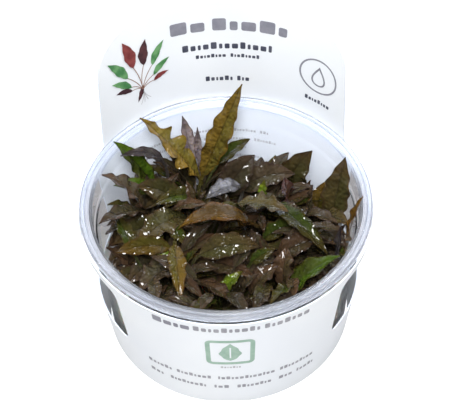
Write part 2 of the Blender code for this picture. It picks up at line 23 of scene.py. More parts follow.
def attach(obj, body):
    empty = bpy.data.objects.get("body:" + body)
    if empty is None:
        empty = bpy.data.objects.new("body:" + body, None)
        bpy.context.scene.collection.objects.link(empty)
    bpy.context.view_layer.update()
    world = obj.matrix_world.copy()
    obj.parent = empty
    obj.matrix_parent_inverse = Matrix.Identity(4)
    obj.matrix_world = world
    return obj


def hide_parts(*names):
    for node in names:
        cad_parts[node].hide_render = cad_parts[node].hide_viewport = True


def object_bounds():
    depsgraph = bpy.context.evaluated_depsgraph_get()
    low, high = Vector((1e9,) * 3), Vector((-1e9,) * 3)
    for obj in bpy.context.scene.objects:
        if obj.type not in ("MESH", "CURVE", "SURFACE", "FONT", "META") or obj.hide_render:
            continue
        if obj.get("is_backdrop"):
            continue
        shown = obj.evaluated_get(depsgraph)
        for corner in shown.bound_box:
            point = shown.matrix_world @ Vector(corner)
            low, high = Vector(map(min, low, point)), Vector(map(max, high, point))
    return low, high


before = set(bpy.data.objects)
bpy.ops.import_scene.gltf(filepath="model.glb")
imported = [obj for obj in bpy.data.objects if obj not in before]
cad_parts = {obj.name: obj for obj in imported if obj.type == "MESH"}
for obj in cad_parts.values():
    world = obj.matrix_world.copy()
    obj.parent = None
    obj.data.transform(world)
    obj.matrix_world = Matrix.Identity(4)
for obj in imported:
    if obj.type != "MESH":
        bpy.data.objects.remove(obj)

LOG = logging.getLogger("potted_cryptocoryne")
MM = 0.001
UP = np.array((0.0, 0.0, 1.0))
BODY = "root"
TINY = 1e-9
UV_NAME = "along_and_across"
CREASE = 55.0  # degrees from which an edge is shaded sharp
SHELL_CREASE = 40.0  # the same for the cup, the gel, the card and the print
GOLDEN_SHARE = 0.618  # spreads tones evenly over a list
UNDER_HALF = 0.45  # the most of an edge that the rounding of one of its corners takes
Colour = tuple[float, float, float]
Point = tuple[float, float, float]
Span = tuple[float, float]


def unit(vectors: np.ndarray) -> np.ndarray:
    """Scale vectors to length one: each is divided by its own length."""
    return vectors / np.maximum(np.linalg.norm(vectors, axis=-1, keepdims=True), TINY)


def smooth(value: np.ndarray) -> np.ndarray:
    """Ease a value from 0 to 1: three times its square less twice its cube, held between 0 and 1."""
    held = np.clip(value, 0.0, 1.0)
    return held * held * (3.0 - 2.0 * held)


def bezier(points: list[np.ndarray], share: np.ndarray) -> np.ndarray:
    """Points on a Bezier curve, by mixing neighbouring control points until one is left.

    Args:
        points: Control points.
        share: Where along the curve, from 0 to 1.

    Returns:
        One point for each share.
    """
    rows = [np.broadcast_to(point, (len(share), 3)) for point in points]
    mix = share[:, None]
    while len(rows) > 1:
        rows = [a + (b - a) * mix for a, b in zip(rows, rows[1:])]
    return rows[0]


@dataclass
class MeshPlan:
    """Points in millimetres, their faces and what a material reads from them."""

    points: np.ndarray
    faces: np.ndarray
    uv: np.ndarray | None = None
    tone: np.ndarray | None = None
    edge: np.ndarray | None = None
    paint: np.ndarray | None = None

    @staticmethod
    def joined(plans: list["MeshPlan"]) -> "MeshPlan":
        """Put several plans in one, each with its faces counted on from the one before.

        Args:
            plans: Plans that all have the same attributes.

        Returns:
            The joined plan.
        """
        counts = np.cumsum([0, *(len(plan.points) for plan in plans)])[:-1]
        stack = {"faces": np.vstack([plan.faces + start for plan, start in zip(plans, counts)])}
        for name in ("points", "uv", "tone", "edge", "paint"):
            parts = [getattr(plan, name) for plan in plans]
            stack[name] = None if parts[0] is None else np.concatenate(parts)
        return MeshPlan(**stack)

    def outward(self) -> "MeshPlan":
        """Turn every face round if the volume inside them comes out negative.

        The volume is a sixth of the sum, over triangles fanned from each face's first corner, of the
        first corner times the cross product of the other two.

        Returns:
            The plan itself.
        """
        first, second, third = (self.points[self.faces[:, i]] for i in range(3))
        last = self.points[self.faces[:, -1]]
        volume = np.einsum("ij,ij->", first, np.cross(second, third))
        if self.faces.shape[1] == 4:
            volume += np.einsum("ij,ij->", first, np.cross(third, last))
        if volume < 0.0:
            self.faces = self.faces[:, ::-1]
        return self

    def tree(self) -> BVHTree:
        """A search tree of the faces."""
        faces = [tuple(face) for face in self.faces.tolist()]
        return BVHTree.FromPolygons([Vector(point) for point in self.points], faces)

    def build(self, name: str, *finishes: bpy.types.Material, crease: float = CREASE) -> bpy.types.Object:
        """Make the mesh object, smooth but for edges sharper than the crease angle.

        Args:
            name: Name of the piece.
            finishes: Its materials, which paint numbers from 0.
            crease: Angle in degrees from which an edge is shaded sharp.

        Returns:
            The new object, at the origin.
        """
        mesh = bpy.data.meshes.new(name)
        count, corners = self.faces.shape
        mesh.vertices.add(len(self.points))
        mesh.vertices.foreach_set("co", (self.points * MM).astype(np.float32).ravel())
        mesh.loops.add(count * corners)
        mesh.loops.foreach_set("vertex_index", self.faces.astype(np.int32).ravel())
        mesh.polygons.add(count)
        mesh.polygons.foreach_set("loop_start", np.arange(0, count * corners, corners, dtype=np.int32))
        mesh.update(calc_edges=True)
        if self.uv is not None:
            layer = mesh.uv_layers.new(name=UV_NAME)
            layer.data.foreach_set("uv", self.uv[self.faces].astype(np.float32).ravel())
        for label, values in (("tone", self.tone), ("edge", self.edge)):
            if values is not None:
                store = mesh.attributes.new(label, "FLOAT", "POINT")
                store.data.foreach_set("value", values.astype(np.float32))
        mesh.validate()
        mesh.shade_smooth()
        mesh.set_sharp_from_angle(angle=math.radians(crease))
        for finish in finishes:
            mesh.materials.append(finish)
        if self.paint is not None:
            mesh.polygons.foreach_set("material_index", self.paint.astype(np.int32))
        made = bpy.data.objects.new(name, mesh)
        bpy.context.scene.collection.objects.link(made)
        return made


def grid_faces(rows: int, columns: int, closed: bool) -> np.ndarray:
    """Quads between neighbouring rows and columns of a grid, whose columns may close in a ring.

    Args:
        rows: Number of rows.
        columns: Number of columns.
        closed: Whether the last column joins the first.

    Returns:
        Point numbers, four to a face.
    """
    row, column = np.mgrid[0 : rows - 1, 0 : columns - (0 if closed else 1)]
    here = row * columns + column
    ahead = row * columns + (column + 1) % columns
    return np.stack([here, ahead, ahead + columns, here + columns], axis=-1).reshape(-1, 4)


def tube_faces(rows: int, ring: int) -> np.ndarray:
    """Quads round a tube of rings, and across each of its ends from side to side.

    Args:
        rows: Number of rings.
        ring: Points in a ring.

    Returns:
        Point numbers, four to a face.
    """
    here = np.arange(ring // 2 - 1)
    cap = np.stack([here, here + 1, ring - 2 - here, ring - 1 - here], axis=1)
    return np.vstack([grid_faces(rows, ring, True), cap[:, ::-1], cap + (rows - 1) * ring])


def mount(piece: bpy.types.Object, slot: str | None, *nodes: str) -> None:
    """Let a piece ride on the cup and hide the solids that it stands for.

    Args:
        piece: The finished piece.
        slot: The record's material slot, or None for a piece that has none; not used.
        nodes: Names of the solids that it replaces.
    """
    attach(piece, BODY)
    if nodes:
        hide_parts(*nodes)
    LOG.info("%s: %d faces", piece.name, len(piece.data.polygons))


def node_points(name: str) -> np.ndarray:
    """The points of a solid of the frame, in millimetres."""
    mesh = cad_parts[name].data
    points = np.zeros(len(mesh.vertices) * 3)
    mesh.vertices.foreach_get("co", points)
    return points.reshape(-1, 3) / MM


def node_tree(name: str) -> BVHTree:
    """A search tree of a solid's faces, in millimetres."""
    faces = [tuple(face.vertices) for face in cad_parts[name].data.polygons]
    return BVHTree.FromPolygons([Vector(point) for point in node_points(name)], faces)


Socket = bpy.types.NodeSocket
NUMBER = "NodeSocketFloat"
COLOUR = "NodeSocketColor"


@dataclass
class NodeSheet:
    """A node tree being filled, with nodes added and linked in one step."""

    tree: bpy.types.NodeTree

    def feed(self, node: bpy.types.Node, inputs: dict) -> None:
        """Give each input, by name or number, its value, or link it to its source socket."""
        for name, value in inputs.items():
            if isinstance(value, Socket):
                self.tree.links.new(value, node.inputs[name])
            else:
                node.inputs[name].default_value = value

    def add(self, kind: str, inputs: dict | None = None, **settings: object) -> bpy.types.Node:
        """Add a node.

        Args:
            kind: Blender's name for the kind of node, without its ShaderNode prefix.
            inputs: Value or source socket for each input, by name or number.
            settings: Values of the node's own properties.

        Returns:
            The new node.
        """
        node = self.tree.nodes.new(kind if kind.startswith("Node") else f"ShaderNode{kind}")
        for name, value in settings.items():
            setattr(node, name, value)
        self.feed(node, inputs or {})
        return node

    def maths(self, operation: str, *values: object) -> Socket:
        """Add a Math node and return its result."""
        return self.add("Math", dict(enumerate(values)), operation=operation).outputs[0]

    def plus(self, first: object, second: object) -> Socket:
        """The sum of two values."""
        return self.maths("ADD", first, second)

    def minus(self, first: object, second: object) -> Socket:
        """The first value less the second."""
        return self.maths("SUBTRACT", first, second)

    def times(self, first: object, second: object) -> Socket:
        """The product of two values."""
        return self.maths("MULTIPLY", first, second)

    def ramp(self, value: object, start: float, end: float, low: float = 0.0, high: float = 1.0) -> Socket:
        """Map a value between start and end smoothly to between low and high.

        Args:
            value: Source socket.
            start: Value that gives low.
            end: Value that gives high.
            low: Result at the start.
            high: Result at the end.

        Returns:
            The mapped value.
        """
        inputs = {"Value": value, "From Min": start, "From Max": end, "To Min": low, "To Max": high}
        return self.add("MapRange", inputs, interpolation_type="SMOOTHSTEP").outputs["Result"]

    def blend(self, share: object, first: object, second: object, mode: str = "MIX") -> Socket:
        """Mix two colours by a share."""
        node = self.add("Mix", data_type="RGBA", blend_type=mode)
        for name, value in (("Factor_Float", share), ("A_Color", first), ("B_Color", second)):
            socket = next(s for s in node.inputs if s.identifier == name)
            if isinstance(value, Socket):
                self.tree.links.new(value, socket)
            else:
                socket.default_value = value
        return next(s for s in node.outputs if s.identifier == "Result_Color")

    def noise(self, where: Socket, size: float, detail: float = 3.0, roughness: float = 0.5) -> Socket:
        """Noise whose lumps are about size millimetres wide.

        Args:
            where: Coordinates in metres.
            size: Width of a lump in millimetres.
            detail: Octaves of finer noise.
            roughness: Strength of the finer noise.

        Returns:
            The noise from 0 to 1.
        """
        inputs = {"Vector": where, "Scale": 1.0 / (size * MM), "Detail": detail, "Roughness": roughness}
        return self.add("TexNoise", inputs).outputs["Fac"]

    def grained(self, group: bpy.types.NodeTree, grain: float, drift: float) -> bpy.types.Node:
        """Add the fine grain group, with its grain and its drift so many millimetres wide."""
        return self.add("Group", {"Grain Size": grain, "Drift Size": drift}, node_tree=group)

    def bumped(self, height: Socket, strength: float, depth: float) -> Socket:
        """A normal tilted by a height, where a height of 1 is depth millimetres."""
        inputs = {"Height": height, "Strength": strength, "Distance": depth * MM}
        return self.add("Bump", inputs).outputs[0]


def shade(colour: Colour) -> tuple[float, float, float, float]:
    """A colour with full alpha, as a socket takes it."""
    return (*colour, 1.0)


def new_group(
    name: str, inputs: dict[str, object], outputs: dict[str, str]
) -> tuple[NodeSheet, bpy.types.Node, bpy.types.Node]:
    """Start a shader node group.

    Args:
        name: Name of the group.
        inputs: Default of each input, a colour or a number.
        outputs: Socket type of each output.

    Returns:
        The sheet to fill, the node that gives the inputs and the node that takes the outputs.
    """
    tree = bpy.data.node_groups.new(name, "ShaderNodeTree")
    for label, value in inputs.items():
        kind = NUMBER if isinstance(value, float) else COLOUR
        socket = tree.interface.new_socket(name=label, in_out="INPUT", socket_type=kind)
        socket.default_value = value if isinstance(value, float) else shade(value)
    for label, kind in outputs.items():
        tree.interface.new_socket(name=label, in_out="OUTPUT", socket_type=kind)
    sheet = NodeSheet(tree)
    return sheet, sheet.add("NodeGroupInput"), sheet.add("NodeGroupOutput")


@dataclass(frozen=True)
class BladeRules:
    """Sizes in millimetres, and shares, that all leaves have in common.

    The veins' two numbers are their count along the blade and how far they slant towards its tip.
    """

    stem_half_width: float = 0.65
    basal_stem_half_width: float = 0.45
    tip_half_width: float = 0.22
    thickness: float = 0.45
    fold: float = 20.0
    fold_softness: float = 0.01
    widest: float = 0.40
    fullness: float = 0.62
    stem_rise: float = 0.45
    stem_run_in: float = 0.35
    stem_lead: float = 0.2
    stem_share: float = 0.5
    face_lean: float = 0.5
    blade_start: float = 0.18
    veins: Span = (8.0, 2.6)
    swelling: float = 0.025
    sag: float = 0.10
    crowding: float = 1.35
    wave_ends: float = 0.7
    wave_lag: float = 0.9
    ruffle_rate: float = 1.3
    ruffle_lead: float = 1.0
    groove_width: float = 0.3
    groove_depth: float = 0.12
    keel_width: float = 0.45
    keel_depth: float = 0.6
    keel_taper: float = 0.5
    margin_depth: float = 0.14
    middle_depth: float = 0.16
    stem_least_depth: float = 0.15
    stem_roundness: float = 1.6


RULES = BladeRules()


@dataclass(frozen=True)
class LeafPattern:
    """The colour, gloss and relief of a leaf, laid out along and across its blade.

    Across runs from 0 at the midrib to 1 at the margin. The veins are lines where the way along the
    blade less the way across it, both scaled, crosses a whole number. Lumpy noise mottles the colour.
    Sizes are in millimetres. A pair is where a change starts and ends, and a row of four also has
    the values that it starts and ends with.
    """

    default: Colour = (0.1, 0.1, 0.02)
    lump_size: float = 5.0
    speck_size: float = 1.1
    crispness: float = 0.6
    half_lean: float = 0.8
    right_half: Span = (0.35, 0.7)
    tip: Span = (0.55, 1.0)
    raggedness: float = 0.5
    margin: Span = (0.72, 1.05)
    stalk: Span = (0.06, -0.12)
    vein_edge: Span = (0.44, 0.5)
    vein_fade: Span = (1.0, 0.6)
    vein_share: float = 0.55
    midrib: Span = (0.12, 0.03)
    line_paleness: float = 0.55
    tone_swing: float = 0.6
    mottle_middle: float = 0.8
    mottle_swing: float = 2.6
    gloss: tuple[float, ...] = (0.3, 0.75, 0.03, 0.09)
    film: tuple[float, ...] = (0.36, 0.48, 0.05, 1.0)
    quilting: float = -0.12
    bead_size: float = 1.5
    bead_edge: Span = (0.34, 0.05)
    bead_height: float = 0.4
    patch_size: float = 7.0
    patch_edge: Span = (0.45, 0.6)
    swell_size: float = 2.4
    swell_height: float = 0.9
    ripple_size: float = 1.3
    ripple_height: float = 0.7
    wave_size: float = 5.0
    wave_height: float = 0.9
    midrib_depth: float = 0.4

    def group(self) -> bpy.types.NodeTree:
        """Make the node group."""
        inputs = dict.fromkeys(("Blade", "Right Half", "Tip", "Margin", "Stalk"), self.default)
        inputs |= {"Mottle": 0.4, "Vein Strength": 0.3}
        outputs = {"Colour": COLOUR} | dict.fromkeys(("Roughness", "Height", "Film"), NUMBER)
        sheet, entry, leave = new_group("leaf_pattern", inputs, outputs)
        place = sheet.add("TexCoord").outputs["Object"]
        layout = sheet.add("SeparateXYZ", {0: sheet.add("UVMap", uv_map=UV_NAME).outputs[0]})
        aside, along = layout.outputs["X"], layout.outputs["Y"]
        across = sheet.times(sheet.maths("ABSOLUTE", sheet.minus(aside, 0.5)), 2.0)
        count, slant = RULES.veins
        run = sheet.minus(sheet.times(along, count), sheet.times(across, slant))
        ways = {"place": place, "aside": aside, "along": along, "across": across}
        ways["wave"] = sheet.maths("ABSOLUTE", sheet.minus(sheet.maths("FRACT", run), 0.5))
        ways["midrib"] = sheet.ramp(across, *self.midrib)
        ways["specks"] = sheet.noise(place, self.speck_size, 3.0, self.crispness)
        ways["swells"] = sheet.noise(place, self.swell_size, 1.0)
        results = {"Colour": self.colour(sheet, entry.outputs, ways)}
        results["Roughness"] = sheet.ramp(ways["specks"], *self.gloss)
        results["Film"] = sheet.ramp(ways["swells"], *self.film)
        results["Height"] = self.height(sheet, ways)
        sheet.feed(leave, results)
        return sheet.tree

    def colour(self, sheet: NodeSheet, given: dict[str, Socket], ways: dict[str, Socket]) -> Socket:
        """The colour of the halves, tip, margin and stalk, with pale veins and a lumpy mottle.

        Args:
            sheet: The group's sheet.
            given: The group's inputs.
            ways: The ways along and across, the noise and the veins, by name.

        Returns:
            The colour.
        """
        lumps = sheet.noise(ways["place"], self.lump_size, 4.0, self.crispness)
        lean = sheet.plus(ways["aside"], sheet.times(sheet.minus(lumps, 0.5), self.half_lean))
        colour = sheet.blend(sheet.ramp(lean, *self.right_half), given["Blade"], given["Right Half"])
        colour = sheet.blend(sheet.ramp(ways["along"], *self.tip), colour, given["Tip"])
        ragged = sheet.times(sheet.minus(ways["specks"], 0.5), self.raggedness)
        edge = sheet.ramp(sheet.plus(ways["across"], ragged), *self.margin)
        colour = sheet.blend(edge, colour, given["Margin"])
        colour = sheet.blend(sheet.ramp(ways["along"], *self.stalk), colour, given["Stalk"])
        fade = sheet.ramp(ways["across"], *self.vein_fade)
        veins = sheet.times(sheet.ramp(ways["wave"], *self.vein_edge), fade)
        lines = sheet.maths("MAXIMUM", ways["midrib"], sheet.times(veins, self.vein_share))
        pale = sheet.blend(self.line_paleness, colour, given["Stalk"])
        colour = sheet.blend(sheet.times(lines, given["Vein Strength"]), colour, pale)
        tone = sheet.add("Attribute", attribute_name="tone").outputs["Fac"]
        spread = sheet.minus(sheet.plus(lumps, sheet.times(tone, self.tone_swing)), self.mottle_middle)
        level = sheet.plus(1.0, sheet.times(sheet.times(spread, self.mottle_swing), given["Mottle"]))
        levels = sheet.add("CombineColor", {0: level, 1: level, 2: level}).outputs[0]
        return sheet.blend(1.0, colour, levels, "MULTIPLY")

    def height(self, sheet: NodeSheet, ways: dict[str, Socket]) -> Socket:
        """The relief: ripples, waves, drops in patches and swells, less the quilting and the midrib.

        Args:
            sheet: The group's sheet.
            ways: The ways along and across, the noise and the veins, by name.

        Returns:
            The height.
        """
        place = ways["place"]
        scale = 1.0 / (self.bead_size * MM)
        spots = sheet.add("TexVoronoi", {"Vector": place, "Scale": scale, "Randomness": 1.0})
        beads = sheet.ramp(spots.outputs["Distance"], *self.bead_edge)
        patches = sheet.ramp(sheet.noise(place, self.patch_size, 2.0), *self.patch_edge)
        ripples = sheet.times(sheet.noise(place, self.ripple_size, 0.0), self.ripple_height)
        waves = sheet.times(sheet.noise(place, self.wave_size, 1.0), self.wave_height)
        grain = sheet.plus(ripples, waves)
        grain = sheet.plus(grain, sheet.times(sheet.times(beads, patches), self.bead_height))
        grain = sheet.plus(grain, sheet.times(ways["swells"], self.swell_height))
        quilt = sheet.times(sheet.ramp(ways["wave"], 0.0, 0.5), self.quilting)
        return sheet.plus(grain, sheet.minus(quilt, sheet.times(ways["midrib"], self.midrib_depth)))


def fine_grain_group() -> bpy.types.NodeTree:
    """Fine irregular grain, as of card fibre, moulded plastic or gel, with a slow drift of tone.

    Returns:
        The node group, whose Mask and Height are noise and whose Drift is slower noise.
    """
    inputs = {"Grain Size": 1.0, "Drift Size": 20.0}
    outputs = dict.fromkeys(("Mask", "Drift", "Height"), NUMBER)
    sheet, entry, leave = new_group("fine_grain", inputs, outputs)
    place = sheet.add("TexCoord").outputs["Object"]
    for label, names, detail in (("Grain Size", ("Mask", "Height"), 4.0), ("Drift Size", ("Drift",), 2.0)):
        scale = sheet.maths("DIVIDE", 1.0 / MM, entry.outputs[label])
        noise = sheet.add("TexNoise", {"Vector": place, "Scale": scale, "Detail": detail})
        sheet.feed(leave, dict.fromkeys(names, noise.outputs["Fac"]))
    return sheet.tree


def new_material(name: str) -> tuple[bpy.types.Material, NodeSheet, bpy.types.Node]:
    """Start a material.

    Args:
        name: Name of the material.

    Returns:
        The material, its sheet and its Principled shader.
    """
    made = bpy.data.materials.new(name)
    made.use_nodes = True
    return made, NodeSheet(made.node_tree), made.node_tree.nodes["Principled BSDF"]


@dataclass(frozen=True)
class LeafFinish:
    """A wet leaf's finish: its colours, how mottled it is and how much light comes through it."""

    slot: str
    blade: Colour
    right_half: Colour
    tip: Colour
    margin: Colour
    stalk: Colour
    mottle: float = 0.35
    veins: float = 0.3
    glow: float = 0.15
    glow_depth: float = 0.9
    glow_reach: Colour = (1.0, 0.8, 0.25)
    relief: float = 0.95
    film_roughness: float = 0.02
    film_ior: float = 1.4
    mirroring: float = 0.06

    def material(self, name: str, group: bpy.types.NodeTree) -> bpy.types.Material:
        """Make the material.

        Args:
            name: Its name.
            group: The leaf pattern group.

        Returns:
            The material.
        """
        made, sheet, shader = new_material(name)
        colours = {"Blade": self.blade, "Right Half": self.right_half, "Tip": self.tip}
        colours |= {"Margin": self.margin, "Stalk": self.stalk}
        inputs = {label: shade(colour) for label, colour in colours.items()}
        inputs |= {"Mottle": self.mottle, "Vein Strength": self.veins}
        pattern = sheet.add("Group", inputs, node_tree=group).outputs
        values = {
            "Base Color": pattern["Colour"],
            "Roughness": pattern["Roughness"],
            "Normal": sheet.bumped(pattern["Height"], 1.0, self.relief),
            "Coat Weight": pattern["Film"],
            "Coat Roughness": self.film_roughness,
            "Coat IOR": self.film_ior,
            "Specular IOR Level": self.mirroring,
            "Subsurface Weight": self.glow,
            "Subsurface Scale": self.glow_depth * MM,
            "Subsurface Radius": self.glow_reach,
        }
        sheet.feed(shader, values)
        return made


class LeafColour(Enum):
    """The named leaf finishes: slot, blade, right half, tip, margin and stalk."""

    GOLDEN = LeafFinish(
        "leaf_golden",
        (0.172, 0.110, 0.019),
        (0.122, 0.096, 0.018),
        (0.158, 0.102, 0.018),
        (0.128, 0.076, 0.013),
        (0.080, 0.072, 0.020),
    )
    OLIVE = LeafFinish(
        "leaf_olive",
        (0.040, 0.031, 0.011),
        (0.033, 0.030, 0.010),
        (0.045, 0.028, 0.011),
        (0.032, 0.020, 0.010),
        (0.041, 0.037, 0.015),
    )
    BROWN = LeafFinish(
        "leaf_brown",
        (0.042, 0.024, 0.013),
        (0.034, 0.025, 0.012),
        (0.049, 0.026, 0.013),
        (0.030, 0.017, 0.011),
        (0.039, 0.030, 0.017),
    )
    DARK = LeafFinish(
        "leaf_dark",
        (0.036, 0.026, 0.015),
        (0.032, 0.027, 0.014),
        (0.040, 0.025, 0.015),
        (0.031, 0.019, 0.014),
        (0.041, 0.033, 0.019),
    )
    GREEN = LeafFinish(
        "leaf_green",
        (0.024, 0.034, 0.005),
        (0.028, 0.026, 0.006),
        (0.039, 0.028, 0.007),
        (0.030, 0.022, 0.006),
        (0.042, 0.047, 0.017),
    )
    FRESH = LeafFinish(
        "leaf_green",
        (0.031, 0.041, 0.006),
        (0.047, 0.088, 0.007),
        (0.054, 0.095, 0.007),
        (0.036, 0.036, 0.006),
        (0.054, 0.065, 0.020),
    )
    LIME = LeafFinish(
        "leaf_lime",
        (0.070, 0.105, 0.007),
        (0.052, 0.078, 0.007),
        (0.072, 0.066, 0.009),
        (0.046, 0.048, 0.009),
        (0.080, 0.100, 0.025),
    )
    AMBER = LeafFinish(
        "leaf_golden",
        (0.068, 0.043, 0.008),
        (0.050, 0.041, 0.007),
        (0.077, 0.041, 0.008),
        (0.043, 0.023, 0.006),
        (0.059, 0.052, 0.016),
    )
    ORANGE = LeafFinish(
        "leaf_orange",
        (0.088, 0.044, 0.008),
        (0.053, 0.032, 0.011),
        (0.110, 0.057, 0.009),
        (0.075, 0.033, 0.009),
        (0.062, 0.044, 0.016),
    )
    PURPLE = LeafFinish(
        "leaf_purple",
        (0.185, 0.150, 0.155),
        (0.225, 0.190, 0.195),
        (0.110, 0.085, 0.085),
        (0.075, 0.052, 0.055),
        (0.120, 0.100, 0.085),
        glow=0.4,
    )
    SILVER = LeafFinish(
        "leaf_purple",
        (0.031, 0.026, 0.026),
        (0.041, 0.035, 0.035),
        (0.024, 0.018, 0.018),
        (0.022, 0.014, 0.015),
        (0.039, 0.033, 0.028),
        glow=0.25,
    )
    # Painted reflection: light grey-blue colours, a lighter right half and a strong mottle paint a
    # silver-white sheen onto a dark leaf.
    PAINTED_SHEEN = LeafFinish(
        "leaf_purple",
        (0.092, 0.092, 0.104),
        (0.165, 0.165, 0.185),
        (0.062, 0.058, 0.062),
        (0.036, 0.031, 0.030),
        (0.070, 0.064, 0.056),
        mottle=0.9,
    )
    RED = LeafFinish(
        "leaf_red",
        (0.044, 0.017, 0.013),
        (0.032, 0.017, 0.012),
        (0.040, 0.016, 0.012),
        (0.027, 0.011, 0.010),
        (0.038, 0.028, 0.016),
    )


@dataclass(frozen=True)
class Leaf:
    """One leaf of the canopy. base is where the blade starts, arch how far its middle rises."""

    name: str
    crown: str
    base: Point
    tip: Point
    arch: float
    half_width: float
    colour: LeafColour
    roll: float = 0.0
    wave: float = 0.13
    waves: float = 2.6
    ruffle: float = 0.07
    curl: float = 0.0


@dataclass(frozen=True)
class Frond:
    """A leaf in its place, as a surface of two parameters: the way along it and the way across it."""

    foot: np.ndarray
    base: np.ndarray
    tip: np.ndarray
    arch: float
    half_width: float
    stem: float
    crown: np.ndarray
    roll: float = 0.0
    wave: float = 0.10
    waves: float = 3.0
    ruffle: float = 0.05
    curl: float = 0.0
    phase: float = 0.0
    tone: float = 0.5

    def path(self, stem_rows: int, blade_rows: int) -> tuple[np.ndarray, np.ndarray]:
        """The leaf's middle line: a cubic curve up the stem and a quadratic one along the blade.

        The stem rises straight from its foot and runs into the line of the blade. The blade's middle
        control point stands twice the arch off the chord.

        Args:
            stem_rows: Points on the stem.
            blade_rows: Points on the blade.

        Returns:
            The points, and the share of the blade at each, which is negative on the stem.
        """
        chord = self.tip - self.base
        lift = UP - chord * (chord[2] / (chord @ chord))
        middle = (self.base + self.tip) / 2.0 + unit(lift) * (2.0 * self.arch)
        reach = float(np.linalg.norm(self.base - self.foot))
        start = unit(middle - self.base)
        turn_in = self.base - start * (RULES.stem_run_in * reach)
        stem = [self.foot, self.foot + UP * (RULES.stem_rise * reach), turn_in, self.base]
        on_stem = np.linspace(0.0, 1.0, stem_rows, endpoint=False)
        on_blade = np.linspace(0.0, 1.0, blade_rows)
        line = np.vstack([bezier(stem, on_stem), bezier([self.base, middle, self.tip], on_blade)])
        share = np.concatenate([(on_stem - 1.0) * RULES.stem_share, on_blade])
        return line, share

    def half_widths(self, share: np.ndarray) -> np.ndarray:
        """Half width along the leaf: a power of the way from the base times one of the way to the tip.

        Args:
            share: Share of the blade, negative on the stem.

        Returns:
            Half widths, at least those of the stem thinning to the tip.
        """
        tip_power = RULES.fullness * (1.0 - RULES.widest) / RULES.widest
        held = np.clip(share, 0.0, 1.0)
        blade = (held / RULES.widest) ** RULES.fullness
        blade *= ((1.0 - held) / (1.0 - RULES.widest)) ** tip_power
        least = self.stem + (RULES.tip_half_width - self.stem) * held
        return np.maximum(least, self.half_width * blade)

    def plan(self, stem_rows: int, blade_rows: int, columns: int) -> MeshPlan:
        """The closed surface: rings that cross the upper face and come back along the lower face.

        Across the blade, the height is a V with a soft middle, less a sag that grows with the cube of
        the way out, plus margin waves, which are a sine along the blade times the square of the way
        out, plus the swelling between veins. A narrow groove runs along the midrib. The lower face is
        a thickness below: thin at the margin, thicker at the midrib, and nearly round on the stem.

        Args:
            stem_rows: Rings on the stem.
            blade_rows: Rings on the blade.
            columns: Points across each face.

        Returns:
            The plan of the leaf.
        """
        line, share = self.path(stem_rows, blade_rows)
        tangent = unit(np.gradient(line, axis=0))
        outward = (self.base + self.tip) / 2.0 - self.crown
        face = UP - unit(outward * (1.0, 1.0, 0.0)) * RULES.face_lean
        side = unit(np.cross(tangent, face))
        turn = np.radians(self.roll + self.curl * np.maximum(share, 0.0) ** 2)[:, None]
        side = side * np.cos(turn) + np.cross(tangent, side) * np.sin(turn)
        normal = np.cross(side, tangent)
        step = np.linspace(-1.0, 1.0, columns)
        across = np.sign(step) * np.abs(step) ** RULES.crowding
        out, wide = np.abs(across)[None, :], self.half_widths(share)[:, None]
        held = np.clip(share, 0.0, 1.0)[:, None]
        on_blade = smooth(share / RULES.blade_start)[:, None]
        window = np.sin(np.pi * held) ** RULES.wave_ends
        beat = (math.tau * self.waves * share + self.phase)[:, None]
        beat = beat + RULES.wave_lag * np.sign(across)[None, :]
        ruffle = np.sin(beat * RULES.ruffle_rate + RULES.ruffle_lead)
        fold = math.radians(RULES.fold)
        sideways = across[None, :] * (wide * (1.0 + self.ruffle * ruffle * window)) * math.cos(fold)
        soft = np.sqrt(out**2 + RULES.fold_softness) - math.sqrt(RULES.fold_softness)
        height = wide * math.sin(fold) * soft - wide * RULES.sag * out**3 * on_blade
        height = height + wide * self.wave * out**2 * np.sin(beat) * window
        count, slant = RULES.veins
        swell = np.sin(math.tau * (share[:, None] * count - out * slant)) * out * (1.0 - out)
        height = height + RULES.swelling * wide * swell * window
        groove = np.exp(-((sideways / RULES.groove_width) ** 2)) * RULES.groove_depth * on_blade
        upper = height - groove + RULES.thickness / 3.0
        keel = np.exp(-((sideways / RULES.keel_width) ** 2))
        keel = keel * (RULES.keel_depth - RULES.keel_taper * held)
        blade_depth = RULES.margin_depth + RULES.middle_depth * (1.0 - out**2) + keel
        round_depth = RULES.stem_roundness * wide * np.sqrt(np.maximum(1.0 - out**2, 0.0))
        stem_depth = RULES.stem_least_depth + round_depth
        lower = upper - (blade_depth * on_blade + stem_depth * (1.0 - on_blade))
        wide = np.hstack([sideways, sideways[:, ::-1]])[..., None]
        high = np.hstack([upper, lower[:, ::-1]])[..., None]
        points = line[:, None, :] + side[:, None, :] * wide + normal[:, None, :] * high
        rows, ring = len(line), 2 * columns
        half = np.linspace(0.0, 1.0, columns)
        u = np.broadcast_to(np.concatenate([half, half[::-1]]), (rows, ring))
        v = np.broadcast_to(share[:, None], (rows, ring))
        uv = np.stack([u, v], axis=-1).reshape(-1, 2)
        tone = np.full(rows * ring, self.tone)
        return MeshPlan(points.reshape(-1, 3), tube_faces(rows, ring), uv, tone).outward()


